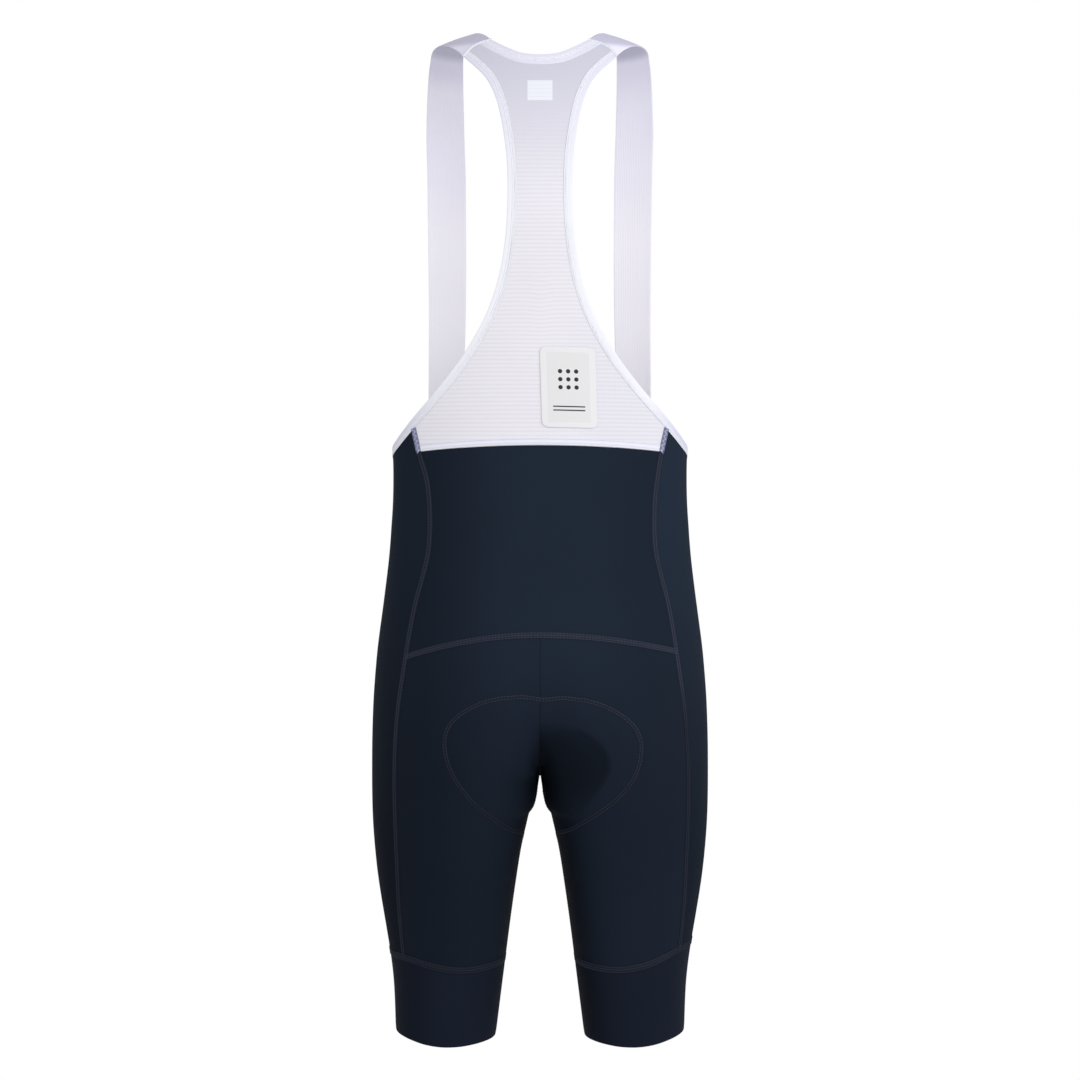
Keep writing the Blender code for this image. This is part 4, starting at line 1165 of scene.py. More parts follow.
def prepare_materials(colours):
    """Makes every material once."""
    if materials:
        return
    groups["tone"], groups["knit"] = tone_group(), knit_group()
    for kind, name, setting, second, options in CLOTHS:
        main = getattr(colours, setting)
        cloth_material(kind, name, main, scaled(main, second), **options)
    net_material(colours)
    graph, shader, tone = cloth_material("rib", "net_rib", colours.net, scaled(colours.net, 0.95))
    # The ribs take the net's painted shade at the top.
    top = shaded_along(graph, tone, 2, *NET_TOP, multiplied(colours.net, NET_TOP_SHADE))
    graph.tree.links.new(top, shader.inputs["Base Color"])
    for kind, name, setting, *values in ELASTICS:
        webbing_material(kind, name, getattr(colours, setting), *values)
    label_material(colours)
    for kind, setting, share in SEAM_CLOTHS:
        seam_material(kind, scaled(getattr(colours, setting), share))


# ---------------------------------------------------------------- threads and ribs

def geometry_tree(name, inputs):
    """A new tree of geometry nodes with named inputs: its graph, its inputs and its output."""
    tree = bpy.data.node_groups.new(name, "GeometryNodeTree")
    tree.interface.new_socket("Geometry", in_out="INPUT", socket_type="NodeSocketGeometry")
    for label, kind, value in inputs:
        socket = tree.interface.new_socket(label, in_out="INPUT", socket_type=kind)
        if value is not None:
            socket.default_value = value
    tree.interface.new_socket("Geometry", in_out="OUTPUT", socket_type="NodeSocketGeometry")
    graph = Graph(tree)
    return graph, graph.add("NodeGroupInput").outputs, graph.add("NodeGroupOutput").inputs[0]


def rib_tree():
    """Round cords along the edges of a mesh."""
    graph, given, out = geometry_tree("net_ribs", [
        ("Radius", FLOAT, 0.0005), ("Sides", WHOLE, 5), ("Material", FINISH, None)])
    curve = graph.out("GeometryNodeMeshToCurve", {0: given["Geometry"]})
    ring = graph.out("GeometryNodeCurvePrimitiveCircle",
                     {"Resolution": given["Sides"], "Radius": given["Radius"]})
    tube = graph.out("GeometryNodeCurveToMesh", {"Curve": curve, "Profile Curve": ring, "Fill Caps": True})
    smooth = graph.out("GeometryNodeSetShadeSmooth", {"Geometry": tube})
    real = graph.out("GeometryNodeRealizeInstances", {0: smooth})
    final = graph.out("GeometryNodeSetMaterial", {"Geometry": real, "Material": given["Material"]})
    graph.tree.links.new(final, out)
    return graph.tree


def seam_tree():
    """Rows of stitches on a narrow raised band, along the edges of a mesh."""
    graph, given, out = geometry_tree("seam_stitches", [
        ("Band Width", FLOAT, 0.005), ("Band Height", FLOAT, 0.0003), ("Rows", WHOLE, 3),
        ("Row Spacing", FLOAT, 0.0014), ("Pitch", FLOAT, 0.003), ("Stitch Length", FLOAT, 0.0024),
        ("Thread", FLOAT, 0.0005), ("Lean", FLOAT, 0.0), ("Material", FINISH, None),
        ("Band Material", FINISH, None)])
    ways = graph.out("GeometryNodeInputNamedAttribute", {"Name": "out"}, data_type="FLOAT_VECTOR")
    curve = graph.out("GeometryNodeMeshToCurve", {0: given["Geometry"]})

    # Spots along the curve, each copied once for every row.
    spots = graph.add("GeometryNodeCurveToPoints", {"Curve": curve, "Length": given["Pitch"]}, mode="LENGTH")
    numbered = graph.out("GeometryNodeStoreNamedAttribute",
                         {"Geometry": spots.outputs["Points"], "Name": "step",
                          "Value": graph.out("GeometryNodeInputIndex")}, data_type="INT")
    copies = graph.add("GeometryNodeDuplicateElements", {"Geometry": numbered, "Amount": given["Rows"]},
                       domain="POINT")
    along = spots.outputs["Tangent"]
    aside = graph.vector("CROSS_PRODUCT", ways, along)
    row = graph.math("SUBTRACT", copies.outputs["Duplicate Index"],
                     graph.times(graph.math("SUBTRACT", given["Rows"], 1.0), 0.5))
    shift = graph.vector("SCALE", aside, scale=graph.times(row, given["Row Spacing"]))
    rise = graph.vector("SCALE", ways, scale=given["Band Height"])
    moved = graph.out("GeometryNodeSetPosition", {"Geometry": copies.outputs["Geometry"],
                                                  "Offset": graph.vector("ADD", shift, rise)})

    # A stitch at each spot, which leans to one side and the other by turns.
    step = graph.out("GeometryNodeInputNamedAttribute", {"Name": "step"}, data_type="INT")
    odd = graph.math("MULTIPLY_ADD", graph.math("MODULO", step, 2.0), 2.0, -1.0)
    lean = graph.vector("SCALE", aside, scale=graph.times(odd, given["Lean"]))
    turn = graph.out("FunctionNodeAxesToRotation",
                     {"Primary Axis": ways, "Secondary Axis": graph.vector("ADD", along, lean)},
                     primary_axis="Z", secondary_axis="X")
    bead = graph.out("GeometryNodeMeshUVSphere", {"Segments": 5, "Rings": 3, "Radius": 0.5})
    scale = graph.out("ShaderNodeCombineXYZ",
                      {0: given["Stitch Length"], 1: given["Thread"], 2: given["Thread"]})
    stitches = graph.out("GeometryNodeInstanceOnPoints",
                         {"Points": moved, "Instance": bead, "Rotation": turn, "Scale": scale})
    real = graph.out("GeometryNodeRealizeInstances", {0: stitches})
    thread = graph.out("GeometryNodeSetMaterial", {"Geometry": real, "Material": given["Material"]})

    # The band under the rows.
    stood = graph.out("GeometryNodeSetCurveNormal", {"Curve": curve, "Normal": ways}, mode="FREE")
    section = graph.out("GeometryNodeCurvePrimitiveQuadrilateral",
                        {"Width": graph.times(given["Band Height"], 2.0),
                         "Height": given["Band Width"]})
    strip = graph.out("GeometryNodeCurveToMesh",
                      {"Curve": stood, "Profile Curve": section, "Fill Caps": True})
    band = graph.out("GeometryNodeSetMaterial", {"Geometry": strip, "Material": given["Band Material"]})
    both = graph.add("GeometryNodeJoinGeometry")
    graph.tree.links.new(thread, both.inputs[0])
    graph.tree.links.new(band, both.inputs[0])
    smooth = graph.out("GeometryNodeSetShadeSmooth", {"Geometry": both.outputs[0]})
    graph.tree.links.new(smooth, out)
    return graph.tree


def grown(name, paths, ways, tree, values, closed=False):
    """Plain mesh that a tree of geometry nodes grows along paths given in millimetres."""
    points, edges, start = [], [], 0
    for path in paths:
        count = len(path)
        numbers = start + np.arange(count)
        points.append(path)
        links = np.stack([numbers[:-1], numbers[1:]], -1)
        edges.append(np.concatenate([links, [[numbers[-1], numbers[0]]]]) if closed else links)
        start += count
    mesh = bpy.data.meshes.new(name)
    mesh.from_pydata((np.concatenate(points) * MM).tolist(), np.concatenate(edges).tolist(), [])
    if ways is not None:
        layer = mesh.attributes.new("out", "FLOAT_VECTOR", "POINT")
        layer.data.foreach_set("vector", np.concatenate(ways).astype(np.float32).ravel())
    thing = scene_object(name, mesh)
    modifier = thing.modifiers.new("Grow", "NODES")
    modifier.node_group = tree
    for item in tree.interface.items_tree:
        if item.in_out == "INPUT" and item.name in values:
            modifier[item.identifier] = values[item.name]
    bpy.context.view_layer.update()
    shaped = thing.evaluated_get(bpy.context.evaluated_depsgraph_get())
    result = bpy.data.meshes.new_from_object(shaped)
    thing.modifiers.clear()
    thing.data = result
    bpy.data.meshes.remove(mesh)
    result.name = name
    for layer in list(result.attributes):
        if layer.name in ("out", "step"):
            result.attributes.remove(layer)
    return thing


# ---------------------------------------------------------------- sizes and colours

def length_property(name, description, default):
    return bpy.props.FloatProperty(name=name, description=description, default=default, min=0.0,
                                   unit="LENGTH")


def colour_property(name, description, default):
    return bpy.props.FloatVectorProperty(name=name, description=description, default=default, size=3,
                                         min=0.0, max=1.0, subtype="COLOR")


class ShortsSizes(bpy.types.PropertyGroup):
    """Sizes of the cloth and of its stitches."""
    knit: length_property("Knit", "Thickness of the navy knit", 0.0013)
    net: length_property("Net", "Thickness of the net of the back", 0.0009)
    tape: length_property("Binding", "Thickness of the folded binding", 0.0018)
    webbing: length_property("Webbing", "Thickness of the shoulder straps", 0.0014)
    label: length_property("Label", "Thickness of a label", 0.0008)
    cell: length_property("Cell", "Side of the faces that a panel is divided into", 0.0028)
    rib: length_property("Rib", "Radius of the ribs of the net", 0.00015)
    stitch: length_property("Stitch", "Length from one stitch to the next", 0.0030)
    thread: length_property("Thread", "Thickness of the sewing thread", 0.0007)


class ShortsColours(bpy.types.PropertyGroup):
    """Colours of the cloth and of its stitches."""
    navy: colour_property("Navy knit", "Seat, yoke and front", (0.0130, 0.0203, 0.0355))
    side: colour_property("Side knit", "Side panels", (0.0170, 0.0257, 0.0438))
    band: colour_property("Leg band", "Leg bands", (0.0083, 0.0122, 0.0232))
    net: colour_property("Net", "Ribbed net of the back", (0.812, 0.792, 0.852))
    net_line: colour_property("Net line", "Line between two ribs of the net", (0.66, 0.635, 0.71))
    tape: colour_property("Binding", "Binding of neck and armholes", (0.875, 0.875, 0.94))
    strap: colour_property("Strap", "Shoulder straps", (0.95, 0.93, 0.995))
    pad: colour_property("Pad", "Seat pad", (0.05, 0.055, 0.065))
    label: colour_property("Label", "Field of the labels", (0.748, 0.748, 0.757))
    neck_label_seen: colour_property("Neck label seen", "Neck label as it shows through the net",
                                     (0.84, 0.87, 0.94))
    label_border: colour_property("Label border", "Border of the back label", (0.785, 0.785, 0.81))
    ink: colour_property("Ink", "Print of the back label", (0.027, 0.018, 0.025))
    seam: colour_property("Seam thread", "Thread on the navy knit", (0.066, 0.075, 0.115))
    seam_band: colour_property("Seam band", "Flat seam under the thread", (0.0215, 0.0265, 0.0420))
    white_thread: colour_property("White thread", "Thread on the white elastics", (0.88, 0.89, 0.95))
    waist: colour_property("Waist strip", "Seam strip above the yoke", (0.80, 0.815, 0.91))
    lilac_thread: colour_property("Lilac thread", "Overlock beside the net", (0.53, 0.54, 0.74))
    lilac_band: colour_property("Lilac band", "Seam under the overlock", (0.19, 0.20, 0.32))


# ---------------------------------------------------------------- pieces

class ShortsPiece:
    """What the operators of the pieces share."""
    bl_options = {"REGISTER", "UNDO"}

    def execute(self, context):
        prepare_materials(context.scene.shorts_colours)
        self.build(context.scene.shorts_sizes)
        return {"FINISHED"}


def panel_grid(edges, cell, stops=(), middle=True, lowest=-90.0, fade=3):
    """Grid of a panel, and for its points the distances from its sides and from its two ends.

    The edges are left, right, top and bottom. A panel on the middle is given by its left half.
    """
    left, right, top, bottom = edges
    wide = (lengths(top)[-1] + lengths(bottom)[-1]) / 2
    high = (lengths(left)[-1] + lengths(right)[-1]) / 2
    u = steps(wide, cell, rims=(not middle, True))
    v = steps(high, cell, stops)
    grid = parted(patch(*edges, u, v, lowest, fade),
                  "right top bottom" if middle else "left right top bottom")
    to_side = (1 - u if middle else np.minimum(u, 1 - u)) * wide
    to_end = np.minimum(v, 1 - v) * high
    parts = [grid, *np.broadcast_arrays(to_side[None, :], to_end[:, None])]
    return [both_halves(part) for part in parts] if middle else parts


def net_height(level, across):
    """Height along the net from the waist, in millimetres, with the slight waves of its ribs."""
    line = even(middle_line(1, 0.0), 600)
    line = line[line[:, 2] > WAIST_CENTRE - 12][::-1]
    height = np.interp(level, line[:, 2], lengths(line))
    wave = sum(high * np.sin(level / down + across / aside) for high, down, aside in NET_WAVES)
    return height + wave + ridge(across, *NET_DIP_ACROSS) * ridge(level, *NET_DIP_DOWN)


class SHORTS_OT_net_back(ShortsPiece, bpy.types.Operator):
    """Makes the back of ribbed net"""
    bl_idname = "shorts.net_back"
    bl_label = "Net back"

    def build(self, sizes):
        left_line = middle_line(1, lines.neck_inner[0, 2])
        left = even(left_line, DENSE, 0, falls_to(left_line[:, 2], WAIST_CENTRE))
        armhole = even(lines.inner, DENSE, 0, lines.back_turn)
        right, corners = joined(armhole, lines.side_top)
        top, _ = joined(lines.neck_inner, lines.shoulder_net)
        grid, to_side, to_end = panel_grid((left, right, top, lines.waist), sizes.cell / MM, corners,
                                           fade=8)
        grid = hung(grid)
        height = net_height(grid[..., 2], grid[..., 0])
        flat = np.stack([grid[..., 0], height], -1) * MM
        net = wall("back_net", grid, rounded(sizes.net / MM, to_side, to_end), materials["net"], flat=flat)
        declare(net, "back_mesh")
        ribs = self.ribs(sizes)
        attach(ribs, "root")
        declare_sheet(grid, NET_STRETCH)

    @staticmethod
    def ribs(sizes):
        """Ribs across the net, each at one height of it."""
        edge = np.concatenate([lines.shoulder_net, lines.inner[:int(lines.back_turn)], lines.side_top])
        edge = edge[np.argsort(-edge[:, 2])]
        neck = lines.neck_inner
        levels = np.linspace(RIB_TOP, WAIST_CENTRE - 5, 1200)
        heights = net_height(levels, 0.0)
        paths = []
        for number in range(2, int(heights[0] / RIB_PITCH) + 1):
            level = np.interp(number * RIB_PITCH, heights[::-1], levels[::-1])
            if level < WAIST_CENTRE + RIB_WAIST_GAP:
                continue
            outer = np.interp(-level, -edge[:, 2], edge[:, 0]) - RIB_END
            spans = [(-outer, outer)]
            if level > neck[0, 2]:
                inner = np.interp(level, neck[:, 2], neck[:, 0]) + RIB_END
                spans = [(inner, outer), (-outer, -inner)]
            for start, stop in spans:
                if stop - start < RIB_SHORTEST:
                    continue
                across = np.linspace(start, stop, max(4, round((stop - start) / RIB_STEP)))
                lower = level - (net_height(level + 0 * across, across) - number * RIB_PITCH)
                path = at_back(np.stack([across, lower], -1))
                paths.append(path + (sizes.net / MM / 2 - RIB_SINK) * outward(path))
        return grown("back_net_ribs", paths, None, rib_tree(),
                     {"Radius": sizes.rib, "Sides": 5, "Material": materials["rib"]})


class SHORTS_OT_panels(ShortsPiece, bpy.types.Operator):
    """Makes the yoke, the seat, the front and the side panels of knit"""
    bl_idname = "shorts.panels"
    bl_label = "Knit panels"

    def build(self, sizes):
        cell, knit = sizes.cell / MM, sizes.knit / MM
        edges = (lines.middle_yoke, lines.side_middle, lines.waist, lines.yoke)
        self.panel("back_yoke", *panel_grid(edges, cell), "navy", knit, "back_net")

        side, _ = joined(lines.side_top, lines.side_middle, lines.side_low)
        side_top = even(lines.inner, DENSE, lines.back_turn, lines.front_turn)
        front_top = even(lines.inner, DENSE, lines.front_turn)
        seat_middle, seat_stops = joined(lines.middle_seat, lines.inseam)
        front_middle, front_stops = joined(lines.middle_front, lines.inseam)
        kinds = (
            ("side_panel", (side, lines.front, side_top, lines.band_side), (), -90.0, "side"),
            ("seat", (lines.side_low, seat_middle, lines.yoke[::-1], lines.band_back), seat_stops,
             -90.0, "navy"),
            ("front", (lines.front, front_middle, front_top, lines.band_front), front_stops,
             -180.0, "navy"),
        )
        for kind, edges, stops, lowest, finish in kinds:
            grid, to_side, to_end = panel_grid(edges, cell, stops, False, lowest)
            for hand, word in HANDS:
                self.panel(f"{kind}_{word}", mirrored(grid, hand), to_side, to_end, finish, knit,
                           "back_yoke_dressed")

    @staticmethod
    def panel(node, grid, to_side, to_end, finish, thickness, rests_on):
        """One panel, of the navy or the side knit."""
        grid = hung(grid)
        shade = side_shade(grid) if finish == "side" else navy_shade(grid)
        sheet_piece(node, grid, rounded(thickness, to_side, to_end), materials[finish], f"{finish}_knit",
                    KNIT_STRETCH, [rests_on], lift=relief(grid), shade=shade)


class SHORTS_OT_leg_bands(ShortsPiece, bpy.types.Operator):
    """Makes the elastic bands of the legs"""
    bl_idname = "shorts.leg_bands"
    bl_label = "Leg bands"

    def build(self, sizes):
        knit, cell = sizes.knit / MM, sizes.cell / MM
        around = np.linspace(-180, 180, 161)[:-1]
        high = ring_level(BAND_SEAM, 90) - ring_level(HEM, 90)
        v = steps(high, cell)
        level = (1 - v)[:, None] * ring_level(BAND_SEAM, around) + v[:, None] * ring_level(HEM, around)
        grid = parted(at(around[None], level), "top")
        to_end = (np.minimum(v, 1 - v) * high)[:, None] + 0 * level
        half = rounded(knit, to_end)
        roll = -HEM_ROLL * soft_step((1 - (1 - v) * high / HEM_ROLL_REACH)[:, None] + 0 * level, 0, 1) ** 2
        for hand, word in HANDS:
            placed = hung(mirrored(grid, hand))
            sheet_piece(f"leg_band_{word}", placed, half, materials["band"], "band_knit", BAND_STRETCH,
                        [f"seat_{word}_dressed", f"front_{word}_dressed"], cut=grid, lift=roll, ring=True,
                        shade=band_shade(placed))


class SHORTS_OT_bindings(ShortsPiece, bpy.types.Operator):
    """Makes the folded bindings of the neck and the armholes"""
    bl_idname = "shorts.bindings"
    bl_label = "Bindings"

    def build(self, sizes):
        thick = sizes.tape / MM
        share = steps(TAPE_WIDTH, BINDING_CELL)
        free = share * TAPE_WIDTH
        half = rounded(thick, np.minimum(free / BINDING_FOLD, TAPE_WIDTH - free))
        half = (half - 0.5 * ridge(free, *BINDING_RIDGE))[:, None]
        neck = self.band(lines.neck, lines.neck_inner, share, NECK_TAPE_WIDER, 0, "bottom right")
        armhole = self.band(lines.edge, lines.inner, share, 1.0, -1, "bottom left right")
        bands = [("neck", both_halves(neck))]
        bands += [(f"armhole_{word}", mirrored(armhole, hand)) for hand, word in HANDS]
        for name, grid in bands:
            sheet_piece(f"binding_{name}", hung(grid), half, materials["tape"], "binding_elastic",
                        BINDING_STRETCH, ["back_net"])

    @staticmethod
    def band(edge, inner, share, wider, middle, sides):
        """Grid of a band from an edge inwards, with its end at the body's middle first or last."""
        along = steps(lengths(edge)[-1], 2.0, rims=(middle != 0, True))
        outer_row, inner_row = share_of(edge, along), share_of(inner, along)
        inner_row = outer_row + wider * (inner_row - outer_row)
        grid = settle(outer_row[None] + share[:, None, None] * (inner_row - outer_row)[None])
        grid[:, middle, 0] = 0
        return parted(grid, sides)


class SHORTS_OT_straps(ShortsPiece, bpy.types.Operator):
    """Makes the wide elastic straps over the shoulders"""
    bl_idname = "shorts.straps"
    bl_label = "Shoulder straps"

    def build(self, sizes):
        wide = lengths(lines.shoulder)[-1]
        share = steps(wide, STRAP_CELL)
        over, down = self.over_shoulder(share), self.down_front(share)
        grid = parted(np.concatenate([over, down]), "top")
        tucked = np.clip((STRAP_TUCK_TOP - grid[..., 2]) / (STRAP_TUCK_TOP - STRAP_TUCK), 0, 1)
        tucked[:len(over)] = 0
        from_edge = np.minimum(share, 1 - share) * wide
        half = rounded(sizes.webbing / MM, from_edge)[None] + ridge(from_edge, *STRAP_RIDGE)[None]
        for hand, word in HANDS:
            sheet_piece(f"strap_{word}", mirrored(grid, hand), half, materials["strap"], "strap_elastic",
                        STRAP_STRETCH, ["shoulders"], lift=-STRAP_TUCK_DEPTH * tucked)

    @staticmethod
    def over_shoulder(share):
        """Rows of the left strap from the net's shoulder seam over to the front, by turns about it."""
        seam = share_of(lines.shoulder, share)
        start = np.stack([seam[:, 0], np.degrees(np.arctan2(seam[:, 2] + ARCH, seam[:, 1]))], -1)
        inner, outer = (
            even(through([tuple(start[index])] + [(row[column], row[0]) for row in STRAP]), STRAP_ROWS_OVER)
            for index, column in ((0, 1), (-1, 2)))
        ends = inner[-1] + share[:, None] * (outer[-1] - inner[-1])
        flat = filled(inner, outer, start, ends, share, lengths(inner) / lengths(inner)[-1], fade=3)
        angle = np.radians(flat[..., 1])
        pivots = np.array((0.0, 0.0, -ARCH)) + np.stack([flat[..., 0], 0 * angle, 0 * angle], -1)
        rows = cast(pivots, np.stack([0 * angle, np.cos(angle), np.sin(angle)], -1))
        rows[0] = seam
        return rows

    @staticmethod
    def down_front(share):
        """Rows of the left strap from there down to its end inside the front."""
        level = np.linspace(-ARCH, STRAP_END, STRAP_ROWS_DOWN)[1:]
        hang = through(STRAP_HANG)
        inner, outer = (np.interp(-level, -hang[:, 0], hang[:, column]) for column in (1, 2))
        place = inner[:, None] + (outer - inner)[:, None] * share[None]
        origin = np.stack([place, 0 * place, level[:, None] + 0 * place], -1)
        return cast(origin, np.array((0.0, -1.0, 0.0)))


class SHORTS_OT_seat_pad(ShortsPiece, bpy.types.Operator):
    """Makes the seat pad inside"""
    bl_idname = "shorts.seat_pad"
    bl_label = "Seat pad"

    def build(self, sizes):
        back, front = middle_line(1, PAD_TOP_BACK), middle_line(-1, PAD_TOP_FRONT)
        middle = even(np.concatenate([back, front[-2::-1]]), 2 * DENSE)
        rows = pad_rows()
        outline = even(at(rows[:, 0], rows[:, 1]), 2 * DENSE)
        u, v = np.linspace(0, 1, PAD_COLUMNS) ** PAD_CROWDING, np.linspace(0, 1, PAD_ROWS)

        def end(start, stop):
            """Edge of the grid at one end of the pad."""
            flat = turned(np.stack([start, stop]), 0)
            points = flat[0] + np.linspace(0, 1, 100)[:, None] * (flat[1] - flat[0])
            line = at(points[:, 0], points[:, 1])
            line[0], line[-1] = start, stop
            return line

        grid = patch(middle, outline, end(middle[0], outline[0]), end(middle[-1], outline[-1]), u, v, 0.0)
        plump = (1 - u[None] ** 3) * np.clip(np.sin(np.pi * v[:, None]) * PAD_FULLNESS, 0, 1)
        thickness = PAD_EDGE + (PAD_MIDDLE - PAD_EDGE) * plump
        for dip in (PAD_CHANNEL, PAD_MIDDLE_DIP):
            thickness = thickness - ridge(u[None], *dip) * soft_step(plump, *PAD_DIP_EASE)
        away = grid - middle[np.argmin(middle[:, 2])]
        apex = np.exp(-(away ** 2).sum(-1) / (2 * PAD_APEX_REACH ** 2))
        clear = PAD_CLEAR + PAD_APEX_CLEAR * apex
        whole = both_halves(grid)
        lift = relief(whole) + both_halves(-clear - thickness / 2)
        piece = wall("seat_pad_dressed", whole, both_halves(thickness / 2), materials["pad"], lift=lift)
        declare(piece, "seat_pad")


class SHORTS_OT_labels(ShortsPiece, bpy.types.Operator):
    """Makes the label of the back and the small one inside the neck"""
    bl_idname = "shorts.labels"
    bl_label = "Labels"

    def build(self, sizes):
        thick = sizes.label / MM
        lift = sizes.net / MM / 2 + LABEL_CLEAR + thick / 2
        self.label("label_back", LABEL_CENTRE, LABEL_SIZE, LABEL_TURNS, LABEL_CORNER,
                   lift + BACK_LABEL_CLEAR, thick, materials["label"])
        self.label("label_neck", NECK_LABEL_CENTRE, NECK_LABEL_SIZE, (0.0, 0.0), NECK_LABEL_CORNER,
                   -lift, thick, materials["plain_label"])

    @staticmethod
    def label(node, centre, wide_high, turns, corner, lift, thick, material):
        """A label: its rows tilted and its sides leaning by the two turns."""
        wide, high = wide_high
        u, v = steps(wide, LABEL_CELL), steps(high, LABEL_CELL)

        def side_of(length, depth):
            """One rounded side, from half of a corner to half of the next: along it and out."""
            arc = np.linspace(np.pi / 4, np.pi / 2, 40)
            along = np.concatenate([-length / 2 + corner - corner * np.cos(arc),
                                    length / 2 - corner + corner * np.cos(arc[::-1])])
            out = np.concatenate([depth / 2 - corner + corner * np.sin(arc),
                                  depth / 2 - corner + corner * np.sin(arc[::-1])])
            return even(np.stack([along, out], -1), 200)

        top, right = side_of(wide, high), side_of(high, wide)[:, ::-1] * (1, -1)
        edges = (share_of(right * (-1, 1), v), share_of(right, v), share_of(top, u),
                 share_of(top * (1, -1), u))
        flat = filled(*edges, u, v)
        tilt, lean = np.radians(turns)
        along_row = np.array((np.cos(tilt), np.sin(tilt)))
        along_side = np.array((np.sin(lean), np.cos(lean)))
        grid = at_back(np.array(centre) + flat[..., :1] * along_row + flat[..., 1:] * along_side)
        to_edge = np.minimum(np.minimum(u, 1 - u)[None] * wide, np.minimum(v, 1 - v)[:, None] * high)
        printed = flat * np.array((-1.0, 1.0)) * MM
        sheet_piece(node, grid, rounded(thick, to_edge), material, "label_fabric", NO_STRETCH, ["back_net"],
                    lift=lift, flat=printed)


# Seams: a name, slot, material of the thread and of the band, the cloth that it lies on and how far it
# rises from that cloth's face, in millimetres. Then, in metres, the sizes of its band and stitches, of
# which those left out and None are the usual ones.
SEAM_SIZES = ("Band Width", "Band Height", "Rows", "Row Spacing", "Stitch Length", "Thread", "Pitch", "Lean")
SEAM_COLUMNS = ("name", "slot", "material", "band", "cloth", "rise", *SEAM_SIZES)
SEAMS = (
    ("sides", "side_knit", "seam", "seam_band", "knit", 0.0, 0.0058, 0.0003, 2, 0.0030, 0.0028),
    ("yoke", "navy_knit", "seam", "seam_band", "knit", 0.0, 0.0060, 0.0003, 3, 0.0020, 0.0028),
    ("yoke_loops", "navy_knit", "seam_dim", "seam_band", "knit", 0.0,
     0.0058, 0.0002, 1, 0.0, 0.0052, 0.0005, 0.0018, 9.0),
    ("pad", "navy_knit", "seam", "seam_faint", "knit", 0.0, 0.0038, 0.0003, 2, 0.0026, 0.0028, 0.0006),
    ("leg_bands", "band_knit", "seam", "seam_band", "knit", 0.0, 0.0064, 0.00035, 3, 0.0024, 0.0028),
    ("inseams", "navy_knit", "seam", "seam_band", "knit", 0.0, 0.0040, 0.0002, 2, 0.0022, 0.0024, 0.0004),
    ("middles", "navy_knit", "seam", "seam_band", "knit_inside", -0.5, 0.0050, 0.0003, 2, 0.0030, 0.0024),
    ("waist", "ribbed_net", "white_thread", "waist_band", "net", 0.0,
     0.0062, 0.0003, 1, 0.0, 0.0046, 0.0005, 0.0016, 9.0),
    ("waist_edge", "ribbed_net", "white_thread", "white_thread", "net", 0.0, 0.0010, 0.0005, 1, 0.0, 0.0026),
    ("waist_top", "ribbed_net", "waist_band", "waist_band", "net", 0.0, 0.0009, 0.0005, 1, 0.0, 0.0026),
    ("corners", "binding_elastic", "lilac_thread", "lilac_band", "net", 0.2,
     0.0060, 0.0003, 1, 0.0, 0.0066, 0.0009, 0.0022, 1.8),
    ("shoulders", "strap_elastic", "waist_band", "waist_band", "tape", -0.3,
     0.0030, 0.0006, 1, 0.0, 0.0022, None, 0.0024),
    ("bindings", "binding_elastic", "white_thread", "white_thread", "tape", -0.1,
     0.0008, 0.0001, 1, 0.0, 0.0016, None, 0.0022),
)
CLOSED_SEAMS = ("pad", "leg_bands")
WAIST_ROWS = {"waist": 3.4, "waist_edge": 0.9, "waist_top": 6.2}    # above the waist's edge
BINDING_ROWS = (0.62, 0.84, 1.0)        # of the way from a binding's edge to its inner edge
INSEAM_START = 3                        # points left out where the inside seams meet


